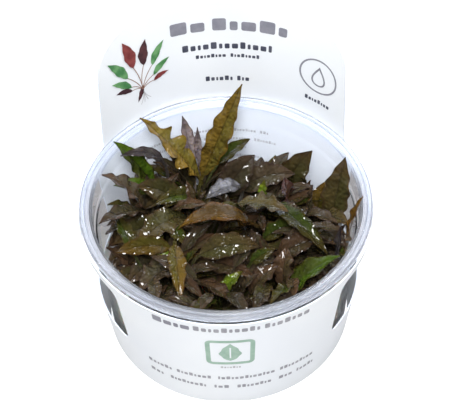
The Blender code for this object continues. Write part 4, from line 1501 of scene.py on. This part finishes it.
@dataclass
class Sleeve:
    """The card: a cone round the cup, with its outline, its windows and its print."""

    card: float = 0.45
    radius: float = 43.2
    slope: float = 0.125
    front_top: float = 54.5
    header_top: float = 97.5
    header_half_width: float = 42.3
    header_corner: float = 13.0
    header_crown: float = 1.3
    corner_sweep: float = 78.0
    shoulder: Span = (14.0, 0.2)
    foot_round: float = 2.0
    window_front: float = 48.3
    window_rear: float = 114.0
    window_bottom: float = 21.0
    window_top: float = 50.5
    window_round: float = 3.5
    flat_radius: float = 46.0
    spacing: float = 2.2

    def outer(self, height: np.ndarray | float) -> np.ndarray | float:
        """Radius of the card's outer face at a height."""
        return self.radius + self.card + self.slope * height

    @staticmethod
    def arc(centre: Span, radius: float, start: float, end: float, steps: int) -> np.ndarray:
        """Points on an arc from one angle in degrees to another."""
        angle = np.radians(np.linspace(start, end, steps + 1))
        return np.stack([centre[0] + radius * np.cos(angle), centre[1] + radius * np.sin(angle)], axis=1)

    def outline(self) -> np.ndarray:
        """The card unrolled: the way round from the back, at the flat radius, and the height.

        The header is drawn as seen from the back, and each point goes to the azimuth whose sine is
        its way aside over the card's radius at its height.

        Returns:
            The outline, from the seam at the front, along the foot and back over the header.
        """
        half, top, foot = self.header_half_width, self.header_top - self.header_crown, self.front_top
        rounded = self.arc((half + self.foot_round, foot + self.foot_round), self.foot_round, 270.0, 180.0, 5)
        centre = (half - self.header_corner, top - self.header_corner)
        corner = self.arc(centre, self.header_corner, 0.0, self.corner_sweep, 14)
        shoulder = np.array([(self.shoulder[0], self.header_top - self.shoulder[1])])
        right = np.vstack([rounded, corner, shoulder])
        seen = np.vstack([right, [(0.0, self.header_top)], right[::-1] * (-1.0, 1.0)])
        azimuth = np.arcsin(np.clip(seen[:, 0] / self.outer(seen[:, 1]), -1.0, 1.0))
        header = np.stack([azimuth * self.flat_radius, seen[:, 1]], axis=1)
        seam = math.pi * self.flat_radius
        return np.vstack([[(-seam, 0.0), (seam, 0.0), (seam, foot)], header, [(-seam, foot)]])

    def window(self, side: int) -> np.ndarray:
        """A window's outline: a rectangle with round corners. side is 1 for the right and -1 for the left."""
        turns = (self.window_rear, self.window_front)
        left, right = (math.radians(180.0 - turn) * self.flat_radius for turn in turns)
        box = (left, right, self.window_bottom, self.window_top)
        return boxed(*box, self.window_round, 6) * (side, 1.0)

    def bent(self, flat: np.ndarray, lift: float) -> np.ndarray:
        """Bend flat points round the cup, a lift outside the card's outer face.

        Args:
            flat: Way round at the flat radius, and height.
            lift: Distance outwards in millimetres.

        Returns:
            The points.
        """
        azimuth = flat[:, 0] / self.flat_radius
        radius = self.outer(flat[:, 1]) + lift
        return np.stack([radius * np.sin(azimuth), radius * np.cos(azimuth), flat[:, 1]], axis=1)

    def solid(self, sheet: Sheet, inner: float, outer: float, seam: bool = False) -> MeshPlan:
        """Give a flat sheet its thickness and bend it: two skins, and a strip along each open edge.

        Args:
            sheet: The flat outline.
            inner: Lift of the inner skin.
            outer: Lift of the outer skin.
            seam: Whether the ends at half a turn each way are one line.

        Returns:
            The closed plan, whose edge attribute is 1 on the cut edge.
        """
        points, faces = sheet.fill()
        if seam:
            turned = np.mod(points[:, 0] / self.flat_radius + math.pi + 1e-7, math.tau)
            key = np.round(np.stack([turned, points[:, 1]], axis=1), 4)
            _, first, number = np.unique(key, axis=0, return_index=True, return_inverse=True)
            points, faces = points[first], number.reshape(-1)[faces]
        count = len(points)
        sides = np.vstack([faces[:, [0, 1]], faces[:, [1, 2]], faces[:, [2, 0]]])
        code = np.sort(sides, axis=1) @ (count, 1)
        _, place, uses = np.unique(code, return_inverse=True, return_counts=True)
        rim = sides[uses[place.reshape(-1)] == 1]
        skins = np.vstack([self.bent(points, outer), self.bent(points, inner)])
        edge_ids, local = np.unique(rim, return_inverse=True)
        local = local.reshape(rim.shape)
        strip = np.vstack([self.bent(points[edge_ids], outer), self.bent(points[edge_ids], inner)])
        base, span = 2 * count, len(edge_ids)
        a, b = base + local[:, 0], base + local[:, 1]
        ends = np.vstack([np.stack([a, b, b + span], axis=1), np.stack([a, b + span, a + span], axis=1)])
        everything = np.vstack([faces[:, ::-1], faces + count, ends])
        edge = np.concatenate([np.zeros(2 * count), np.ones(2 * span)])
        return MeshPlan(np.vstack([skins, strip]), everything, edge=edge).outward()

    def build(self, finish: bpy.types.Material) -> None:
        """Build the card."""
        loops = [self.outline(), self.window(1), self.window(-1)]
        plan = self.solid(Sheet(loops, self.spacing), -self.card, 0.0, seam=True)
        piece = plan.build("card_sleeve", finish, crease=SHELL_CREASE)
        mount(piece, "white_card", "sleeve")


class Side(Enum):
    """The printed faces of the card: outside at the front, and inside at the back."""

    FRONT = "front"
    BACK = "back"


class Ink(Enum):
    """The printing inks, each with its full colour and the colour where it lies thin."""

    GREY = ((0.200, 0.200, 0.240), (0.240, 0.240, 0.280))
    PALE = ((0.270, 0.270, 0.300), (0.330, 0.330, 0.360))
    FAINT = ((0.420, 0.420, 0.440), (0.500, 0.500, 0.520))
    DARK = ((0.050, 0.055, 0.085), (0.080, 0.085, 0.115))
    SAGE = ((0.270, 0.410, 0.325), (0.330, 0.470, 0.385))
    WINE = ((0.150, 0.022, 0.024), (0.240, 0.055, 0.050))
    MAROON = ((0.045, 0.016, 0.022), (0.085, 0.030, 0.034))
    GREEN = ((0.050, 0.180, 0.060), (0.140, 0.320, 0.130))
    TWIG = ((0.230, 0.120, 0.085), (0.340, 0.220, 0.170))


@dataclass(frozen=True)
class Mark:
    """A printed shape: closed lines as seen, across and up, and its level among overlapping shapes."""

    ink: Ink
    side: Side
    loops: tuple[np.ndarray, ...]
    level: int = 0


@dataclass(frozen=True)
class Line:
    """A printed line of blocks: the middle of its height, and where each of its words starts and ends."""

    ink: Ink
    side: Side
    middle: float
    height: float
    words: tuple[Span, ...]
    pitch: float = 0.74
    gap: float = 0.24
    low_share: float = 0.74
    corner: float = 0.14
    tall_every: int = 4
    widths: tuple[float, ...] = (0.62, 0.52, 0.3, 0.56, 0.6, 0.34, 0.5)

    def mark(self) -> Mark:
        """The line as a printed shape: rounded blocks of several widths, one in four of them tall."""
        loops = []
        low = self.middle - self.height / 2.0
        for number, (left, right) in enumerate(self.words):
            count = max(1, round((right - left) / (self.pitch * self.height)))
            order = np.arange(count) + number
            wide = np.array(self.widths)[order % len(self.widths)]
            ends = np.cumsum(wide + self.gap) - self.gap
            scale = (right - left) / ends[-1]
            tall_ones = (order % self.tall_every == 0) | (np.arange(count) == 0)
            tall = self.height * np.where(tall_ones, 1.0, self.low_share)
            spans = zip(left + (ends - wide) * scale, left + ends * scale, low + tall)
            loops += [boxed(start, end, low, top, self.corner * self.height) for start, end, top in spans]
        return Mark(self.ink, self.side, tuple(loops))


def boxed(
    left: float, right: float, low: float, high: float, radius: float, steps: int = 4
) -> np.ndarray:
    """A rectangle with round corners, as a closed line of points.

    Args:
        left: Where it starts.
        right: Where it ends.
        low: Its foot.
        high: Its top.
        radius: Radius of its corners.
        steps: Points on each corner less one.

    Returns:
        The line.
    """
    r = min(radius, UNDER_HALF * (right - left), UNDER_HALF * (high - low))
    corners = ((right - r, low + r, 270.0), (right - r, high - r, 0.0), (left + r, high - r, 90.0))
    corners += ((left + r, low + r, 180.0),)
    return np.vstack([Sleeve.arc((x, z), r, start, start + 90.0, steps) for x, z, start in corners])


def lens(base: Span, tip: Span, half: float, bend: float = 0.0) -> np.ndarray:
    """A drawn leaf: a line bent aside by a parabola, and half a width that is a skewed sine along it.

    Args:
        base: Where it starts.
        tip: Where it ends.
        half: Half of its greatest width.
        bend: How far its middle stands aside.

    Returns:
        The closed line round it.
    """
    along = np.linspace(0.0, 1.0, 15)[:, None]
    start, end = np.array(base), np.array(tip)
    aside = unit((end - start)[::-1] * (-1.0, 1.0))
    middle = start + (end - start) * along + aside * bend * 4.0 * along * (1.0 - along)
    wide = half * np.sin(np.pi * along**0.8) * (1.0 + 0.08 * np.sin(19.0 * along)) + 0.02
    return np.vstack([middle + aside * wide, (middle - aside * wide)[::-1]])


def stroke(start: Span, end: Span, width: float, bend: float = 0.0) -> np.ndarray:
    """A drawn line of even width, bent aside by a parabola.

    Args:
        start: Where it starts.
        end: Where it ends.
        width: Its width.
        bend: How far its middle stands aside.

    Returns:
        The closed line round it.
    """
    along = np.linspace(0.0, 1.0, 9)[:, None]
    first, last = np.array(start), np.array(end)
    aside = unit((last - first)[::-1] * (-1.0, 1.0))
    middle = first + (last - first) * along + aside * bend * 4.0 * along * (1.0 - along)
    return np.vstack([middle + aside * width / 2.0, (middle - aside * width / 2.0)[::-1]])


@dataclass
class Print:
    """The print on the card: lines of blocks, a leaf in a box, a drop in a ring and a drawn plant."""

    sleeve: Sleeve
    film: float = 0.03
    stand_off: float = 0.03
    spacing: float = 1.5
    level_step: float = 1.3
    mark_centre: Span = (32.1, 74.2)
    lines: tuple[Line, ...] = (
        Line(Ink.GREY, Side.FRONT, 51.2, 3.2, ((-24.0, -12.2),), 0.86, 0.14),
        Line(Ink.PALE, Side.FRONT, 51.2, 2.8, ((-11.0, 9.0), (10.5, 25.0))),
        Line(Ink.FAINT, Side.FRONT, 26.0, 1.2, ((-3.4, 3.2),)),
        Line(Ink.PALE, Side.FRONT, 18.2, 2.0, ((-30.0, -21.0), (-19.0, -7.0), (-4.5, 15.0), (17.0, 30.0))),
        Line(
            Ink.PALE,
            Side.FRONT,
            11.8,
            2.0,
            ((-30.0, -25.0), (-22.0, -9.0), (-6.0, -1.0), (2.0, 14.0), (17.0, 22.0), (24.0, 31.0)),
        ),
        Line(Ink.GREY, Side.BACK, 87.6, 5.0, ((-15.0, -4.6), (-2.3, 20.3)), 0.86, 0.14),
        Line(Ink.DARK, Side.BACK, 78.7, 2.8, ((-11.8, 15.8),)),
        Line(Ink.DARK, Side.BACK, 74.4, 1.5, ((-7.8, 1.5), (3.0, 11.9))),
        Line(Ink.DARK, Side.BACK, 64.4, 2.0, ((-5.1, 3.5), (5.0, 8.8))),
        Line(Ink.DARK, Side.BACK, 63.6, 1.6, ((28.0, 37.3),)),
        Line(Ink.FAINT, Side.BACK, 41.0, 1.3, ((-34.0, -22.0), (-20.0, -4.0), (2.0, 11.5), (13.0, 16.0))),
        Line(Ink.FAINT, Side.BACK, 37.0, 1.3, ((-34.0, -26.0), (-24.0, -10.0), (-7.0, 9.0), (11.0, 19.0))),
        Line(Ink.FAINT, Side.BACK, 33.0, 1.3, ((-34.0, -20.0), (-18.0, -2.0), (0.0, 8.0))),
        Line(Ink.FAINT, Side.BACK, 29.0, 1.3, ((-33.0, -21.0), (-18.0, -4.0), (0.0, 13.0))),
        Line(Ink.FAINT, Side.BACK, 25.0, 1.3, ((-32.0, -24.0), (-20.0, -6.0))),
    )

    @staticmethod
    def ring(ink: Ink, side: Side, box: tuple[float, ...], radius: float, width: float) -> Mark:
        """A rounded box drawn with a line of even width, inside its left, right, low and high sides."""
        left, right, low, high = box
        inner = (left + width, right - width, low + width, high - width)
        return Mark(ink, side, (boxed(*box, radius), boxed(*inner, radius - width)))

    def emblem(self) -> list[Mark]:
        """The emblem at the front: an upright leaf with a bare midrib, in a rounded box."""
        leaf = (lens((-0.1, 30.6), (-0.1, 42.2), 3.4), stroke((-0.1, 32.4), (-0.1, 39.6), 0.5))
        ring = self.ring(Ink.SAGE, Side.FRONT, (-7.9, 7.7, 28.0, 44.3), 2.2, 1.5)
        return [ring, Mark(Ink.SAGE, Side.FRONT, leaf)]

    def drop_mark(self) -> list[Mark]:
        """The round mark on the header: a ring round the outline of a drop.

        The drop's way aside is the sine of the angle from its tip times a power of the half angle's
        sine, and its height is the cosine.
        """
        angle = np.linspace(0.0, math.tau, 40, endpoint=False)
        aside = 0.85 * np.sin(angle) * np.sin(angle / 2.0) ** 1.4
        drop = np.stack([aside, np.cos(angle)], axis=1)
        centre = np.array(self.mark_centre)
        rings = (Sleeve.arc(self.mark_centre, radius, 0.0, 352.0, 44) for radius in (7.0, 6.4))
        outline = (centre + drop * 4.2, centre - (0.0, 0.35) + drop * 3.3)
        return [Mark(Ink.GREY, Side.BACK, tuple(rings)), Mark(Ink.GREY, Side.BACK, outline)]

    def drawn_plant(self) -> list[Mark]:
        """The drawn plant on the header: a fan of lance leaves on thin stalks, over a short root."""
        blades = (
            (Ink.MAROON, -68.0, 4.0, 10.6, 1.0),
            (Ink.GREEN, -50.0, 5.0, 14.0, 1.3),
            (Ink.GREEN, -31.0, 9.0, 21.0, 1.6),
            (Ink.WINE, -11.0, 11.0, 23.5, 1.9),
            (Ink.MAROON, 9.0, 10.0, 20.5, 1.6),
            (Ink.GREEN, 27.0, 9.5, 19.5, 1.2),
            (Ink.GREEN, 46.0, 6.0, 14.0, 1.1),
            (Ink.WINE, 66.0, 4.5, 10.2, 0.9),
        )
        root = np.array((-26.2, 67.8))
        marks = [Mark(Ink.MAROON, Side.BACK, (lens((-26.0, 69.4), (-28.6, 63.2), 0.8, 0.3),), 1)]
        for number, (ink, angle, stalk, reach, half) in enumerate(blades):
            way = np.array((math.sin(math.radians(angle)), math.cos(math.radians(angle))))
            base, tip = tuple(root + way * stalk), tuple(root + way * reach)
            bend = math.copysign(0.5, angle)
            marks.append(Mark(Ink.TWIG, Side.BACK, (stroke(tuple(root), base, 0.26, bend),), number % 4))
            marks.append(Mark(ink, Side.BACK, (lens(base, tip, half, bend),), 4 + number % 4))
        for number, foot in enumerate((-27.6, -26.2, -24.9, -23.8)):
            strand = stroke((-26.0, 67.0), (foot, 61.6 + 0.5 * number), 0.2, 0.4 - 0.25 * number)
            marks.append(Mark(Ink.FAINT, Side.BACK, (strand,), number))
        return marks

    def laid(self, mark: Mark) -> MeshPlan:
        """Lay a mark on the card as a thin film of ink.

        Args:
            mark: The printed shape.

        Returns:
            The plan of the film, a stand-off above the card and more for a higher level.
        """
        low = self.stand_off + mark.level * self.film * self.level_step
        if mark.side is Side.FRONT:
            flat = [(math.pi * self.sleeve.flat_radius, 0.0) + loop * (-1.0, 1.0) for loop in mark.loops]
            return self.sleeve.solid(Sheet(flat, self.spacing), low, low + self.film)
        low += self.sleeve.card
        return self.sleeve.solid(Sheet(list(mark.loops), self.spacing), -low - self.film, -low)

    def build(self, finishes: dict[Ink, bpy.types.Material]) -> None:
        """Build one piece for each ink."""
        marks = [line.mark() for line in self.lines]
        marks += self.emblem() + self.drop_mark() + self.drawn_plant()
        for ink in Ink:
            plans = [self.laid(mark) for mark in marks if mark.ink is ink]
            name = f"print_{ink.name.lower()}"
            piece = MeshPlan.joined(plans).build(name, finishes[ink], crease=SHELL_CREASE)
            mount(piece, None)


@dataclass(frozen=True)
class GrainedFinish:
    """A finish with fine grain in its gloss and a drift of tone between two colours.

    sizes are the widths of grain and drift in millimetres, relief is the bump's strength and depth,
    glow the share and depth of light inside, and cut the colour of the edge.
    """

    name: str
    colour: Colour
    other: Colour
    sizes: Span
    roughness: Span
    spread: Span = (0.3, 0.7)
    sources: tuple[str, str] = ("Drift", "Mask")
    relief: Span | None = None
    glow: Span | None = None
    cut: Colour | None = None

    def material(self, group: bpy.types.NodeTree) -> bpy.types.Material:
        """Make the material.

        Args:
            group: The fine grain group.

        Returns:
            The material.
        """
        made, sheet, shader = new_material(self.name)
        grain = sheet.grained(group, *self.sizes).outputs
        tone = sheet.ramp(grain[self.sources[0]], *self.spread)
        colour = sheet.blend(tone, shade(self.colour), shade(self.other))
        # The edge colour; on the white card it is partly painted shade.
        if self.cut:
            edge = sheet.add("Attribute", attribute_name="edge").outputs["Fac"]
            colour = sheet.blend(edge, colour, shade(self.cut))
        rough = sheet.ramp(grain[self.sources[1]], 0.3, 0.7, *self.roughness)
        looks = {"Base Color": colour, "Roughness": rough}
        if self.relief:
            looks["Normal"] = sheet.bumped(grain["Height"], *self.relief)
        if self.glow:
            looks |= {"Subsurface Weight": self.glow[0], "Subsurface Scale": self.glow[1] * MM}
        sheet.feed(shader, looks)
        return made


WHITE_CARD = GrainedFinish(
    "coated_white_card",
    (0.80, 0.825, 0.85),
    (0.76, 0.79, 0.83),
    (0.25, 35.0),
    (0.38, 0.52),
    relief=(0.12, 0.05),
    # The cut edge's bluish grey is partly the card's cut core and partly painted shade along its edges.
    cut=(0.55, 0.60, 0.68),
)
GROWING_GEL = GrainedFinish(
    "growing_gel", (0.62, 0.58, 0.44), (0.50, 0.46, 0.33), (2.0, 9.0), (0.18, 0.32), glow=(0.4, 3.0)
)
RHIZOME_SKIN = GrainedFinish(
    "rhizome_skin",
    (0.10, 0.085, 0.03),
    (0.20, 0.17, 0.08),
    (0.7, 2.5),
    (0.4, 0.65),
    (0.4, 0.65),
    ("Mask", "Drift"),
    relief=(0.5, 0.2),
)


def ink_finish(ink: Ink) -> GrainedFinish:
    """Matt printing ink whose coverage varies a little."""
    return GrainedFinish(f"{ink.name.lower()}_ink", *ink.value, (0.5, 3.0), (0.42, 0.6), (0.35, 0.65))


@dataclass(frozen=True)
class ClearPlastic:
    """Clear, faintly milky moulded plastic that lets lamps through."""

    tint: Colour = (0.825, 0.835, 0.860)
    rim_tint: Colour = (0.80, 0.84, 0.93)
    # Colour, radii and width of dark lines that paint shade on the flange: at its first rib, its groove and
    # its outer edge.
    shade_line_tint: Colour = (0.54, 0.58, 0.68)
    lines: tuple[float, ...] = (46.3, 48.05, 49.35)
    shade_line_width: float = 0.22
    shadow: Colour = (0.93, 0.94, 0.96)
    ior: float = 1.28
    clear: float = 0.995
    mirroring: float = 0.22
    rim_from: float = 54.5
    rim_haze: float = 0.2

    def streaks_and_shade_lines(self, sheet: NodeSheet) -> Socket:
        """How dark the rim's lines of painted shade and its moulded streaks are, from the distance to the
        cup's axis.

        Each line is a peak where the radius is the line's own. The streaks are noise that is fine
        across the rim and long round it.

        Args:
            sheet: The material's sheet.

        Returns:
            The share, from 0 to 1.
        """
        place = sheet.add("SeparateXYZ", {0: sheet.add("TexCoord").outputs["Object"]})
        x, y = place.outputs["X"], place.outputs["Y"]
        radius = sheet.maths("SQRT", sheet.plus(sheet.times(x, x), sheet.times(y, y)))
        turn = sheet.times(sheet.maths("ARCTAN2", x, y), 18.0 * MM)
        where = sheet.add("CombineXYZ", {0: sheet.times(radius, 3.0), 1: turn}).outputs[0]
        share = sheet.ramp(sheet.noise(where, 1.0, 3.0, 0.6), 0.45, 0.75, 0.0, 0.22)
        # Each line paints shade where the flange's first rib, its groove and its outer edge lie.
        for line in self.lines:
            apart = sheet.maths("ABSOLUTE", sheet.minus(radius, line * MM))
            share = sheet.maths("MAXIMUM", share, sheet.ramp(apart, self.shade_line_width * MM, 0.05 * MM))
        return share

    def material(self, name: str, group: bpy.types.NodeTree) -> bpy.types.Material:
        """Make the material, under a name."""
        made, sheet, shader = new_material(name)
        grain = sheet.grained(group, 3.0, 18.0)
        height = sheet.add("SeparateXYZ", {0: sheet.add("TexCoord").outputs["Object"]}).outputs["Z"]
        rim = sheet.ramp(height, self.rim_from * MM, (self.rim_from + 1.0) * MM, 0.0, self.rim_haze)
        haze = sheet.plus(sheet.ramp(grain.outputs["Drift"], 0.3, 0.75, 0.02, 0.07), rim)
        sheet.tree.links.new(haze, shader.inputs["Roughness"])
        sheet.feed(shader, {"Normal": sheet.bumped(grain.outputs["Height"], 0.15, 0.1)})
        at_rim = sheet.ramp(height, (self.rim_from - 0.4) * MM, (self.rim_from + 0.4) * MM)
        # The rim's tint, darkened along its lines of painted shade.
        rim_tint = sheet.blend(self.streaks_and_shade_lines(sheet), shade(self.rim_tint), shade(self.shade_line_tint))
        tint = sheet.blend(at_rim, shade(self.tint), rim_tint)
        sheet.tree.links.new(tint, shader.inputs["Base Color"])
        shader.inputs["Transmission Weight"].default_value = self.clear
        shader.inputs["IOR"].default_value = self.ior
        shader.inputs["Specular IOR Level"].default_value = self.mirroring
        clear = sheet.add("BsdfTransparent", {"Color": shade(self.shadow)})
        lamp_ray = sheet.add("LightPath").outputs["Is Shadow Ray"]
        mix = sheet.add("MixShader", {0: lamp_ray, 1: shader.outputs[0], 2: clear.outputs[0]})
        sheet.tree.links.new(mix.outputs[0], made.node_tree.nodes["Material Output"].inputs["Surface"])
        return made


@dataclass(frozen=True)
class Lamp:
    """A square soft light: its place and the side of its face in millimetres, and its power in watts."""

    name: str
    place: Point
    size: float
    power: float
    mirrored: bool = True

    def hang(self, target: Point) -> None:
        """Add the light to the scene, unseen in glossy surfaces if it isn't mirrored.

        Args:
            target: What it faces, in millimetres.
        """
        light = bpy.data.lights.new(self.name, "AREA")
        light.shape = "SQUARE"
        light.size = self.size * MM
        light.energy = self.power
        made = bpy.data.objects.new(self.name, light)
        bpy.context.scene.collection.objects.link(made)
        made.visible_glossy = self.mirrored
        spot = Vector(self.place) * MM
        made.location = spot
        made.rotation_euler = (Vector(target) * MM - spot).to_track_quat("-Z", "Y").to_euler()


LAMPS = (
    Lamp("key_light", (-230.0, -120.0, 830.0), 105.0, 2.1),
    Lamp("side_light", (420.0, 60.0, 640.0), 95.0, 1.3),
    Lamp("left_light", (-420.0, 160.0, 620.0), 95.0, 1.2),
    Lamp("back_light", (90.0, 430.0, 760.0), 100.0, 1.4),
    Lamp("top_light", (60.0, 120.0, 900.0), 100.0, 1.4),
    Lamp("fill_light", (0.0, -440.0, 840.0), 300.0, 8.9, mirrored=False),
)


@dataclass
class Studio:
    """The pale floor, the soft lights and the camera."""

    camera_place: Point = (0.0, -332.14, 443.50)
    camera_right: Point = (0.9995, -0.0245, -0.0216)
    camera_up: Point = (0.0327, 0.7580, 0.6515)
    camera_ahead: Point = (-0.0004, 0.6518, -0.7584)
    lens: float = 120.41
    floor_reach: float = 1600.0
    target: Point = (0.0, 0.0, 45.0)
    air_light: float = 0.40
    air_glint: float = 0.07
    floor_glow: float = 0.7
    floor_mirrored: Colour = (0.33, 0.32, 0.32)
    floor_drop: float = 0.05
    air_tint: Colour = (0.97, 0.98, 1.0)
    floor_tones: tuple[Colour, ...] = ((0.56, 0.56, 0.56), (0.58, 0.58, 0.58))

    def floor(self) -> None:
        """The floor, which looks white to the camera and is dimmer in mirroring surfaces."""
        reach = self.floor_reach
        x, y = np.meshgrid(np.linspace(-reach, reach, 9), np.linspace(-reach, reach, 9))
        points = np.stack([x, y, np.zeros_like(x) - self.floor_drop], axis=-1).reshape(-1, 3)
        made, sheet, shader = new_material("pale_floor")
        grain = sheet.noise(sheet.add("TexCoord").outputs["Object"], 60.0)
        tone = sheet.ramp(grain, 0.3, 0.7)
        colour = sheet.blend(tone, shade(self.floor_tones[0]), shade(self.floor_tones[1]))
        path = sheet.add("LightPath").outputs
        looks = {"Roughness": 0.9, "Specular IOR Level": 0.1, "Emission Color": shade((1.0, 1.0, 1.0))}
        looks["Base Color"] = sheet.blend(path["Is Glossy Ray"], colour, shade(self.floor_mirrored))
        looks["Emission Strength"] = sheet.times(path["Is Camera Ray"], self.floor_glow)
        sheet.feed(shader, looks)
        floor = MeshPlan(points, grid_faces(9, 9, False)).build("studio_floor", made)
        floor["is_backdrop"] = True

    def air(self) -> None:
        """The world, which looks white to the camera and is dimmer in mirroring surfaces."""
        world = bpy.data.worlds.new("studio_air")
        world.use_nodes = True
        sheet = NodeSheet(world.node_tree)
        path = sheet.add("LightPath").outputs
        bounced = sheet.minus(1.0, path["Is Transmission Ray"])
        mirrored = sheet.times(path["Is Glossy Ray"], bounced)
        mirrored = sheet.times(mirrored, self.air_light - self.air_glint)
        level = sheet.maths("MAXIMUM", sheet.minus(self.air_light, mirrored), path["Is Camera Ray"])
        background = world.node_tree.nodes["Background"]
        sheet.feed(background, {"Color": shade(self.air_tint), "Strength": level})
        bpy.context.scene.world = world

    def camera(self) -> None:
        """The camera, turned by its own right, up and ahead directions."""
        camera = bpy.data.cameras.new("camera")
        camera.lens = self.lens
        camera.sensor_width = 36.0
        camera.clip_start = 0.05
        view = bpy.data.objects.new("camera", camera)
        bpy.context.scene.collection.objects.link(view)
        back = tuple(-value for value in self.camera_ahead)
        turn = Matrix((self.camera_right, self.camera_up, back)).transposed()
        view.rotation_euler = turn.to_euler()
        view.location = Vector(self.camera_place) * MM
        bpy.context.scene.camera = view
        bpy.context.scene.view_settings.view_transform = "Standard"

    def build(self) -> None:
        """Build the floor, the world, the lamps and the camera."""
        self.floor()
        self.air()
        for lamp in LAMPS:
            lamp.hang(self.target)
        self.camera()


def main() -> None:
    """Build and dress every piece, set up the studio and measure the bounds before and after."""
    logging.basicConfig(level=logging.INFO, format="%(name)s %(message)s")
    cad_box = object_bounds()
    leaf_group, grain_group = LeafPattern().group(), fine_grain_group()
    finishes = {}
    for look in LeafColour:
        finishes[look] = look.value.material(f"wet_{look.name.lower()}_leaf", leaf_group)
    rhizome = RHIZOME_SKIN.material(grain_group)
    Studio().build()
    wall = ClearPlastic().material("clear_wall_plastic", grain_group)
    flange = ClearPlastic(ior=1.49, clear=0.92, mirroring=0.5).material("milky_flange_plastic", grain_group)
    Cup().build(wall, flange)
    GrowingGel().build(GROWING_GEL.material(grain_group))
    sleeve = Sleeve()
    sleeve.build(WHITE_CARD.material(grain_group))
    Print(sleeve).build({ink: ink_finish(ink).material(grain_group) for ink in Ink})
    Plantlets().build(finishes, rhizome)
    boxes = [[list(map(float, corner)) for corner in box] for box in (cad_box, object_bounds())]


if __name__ == "__main__":
    main()
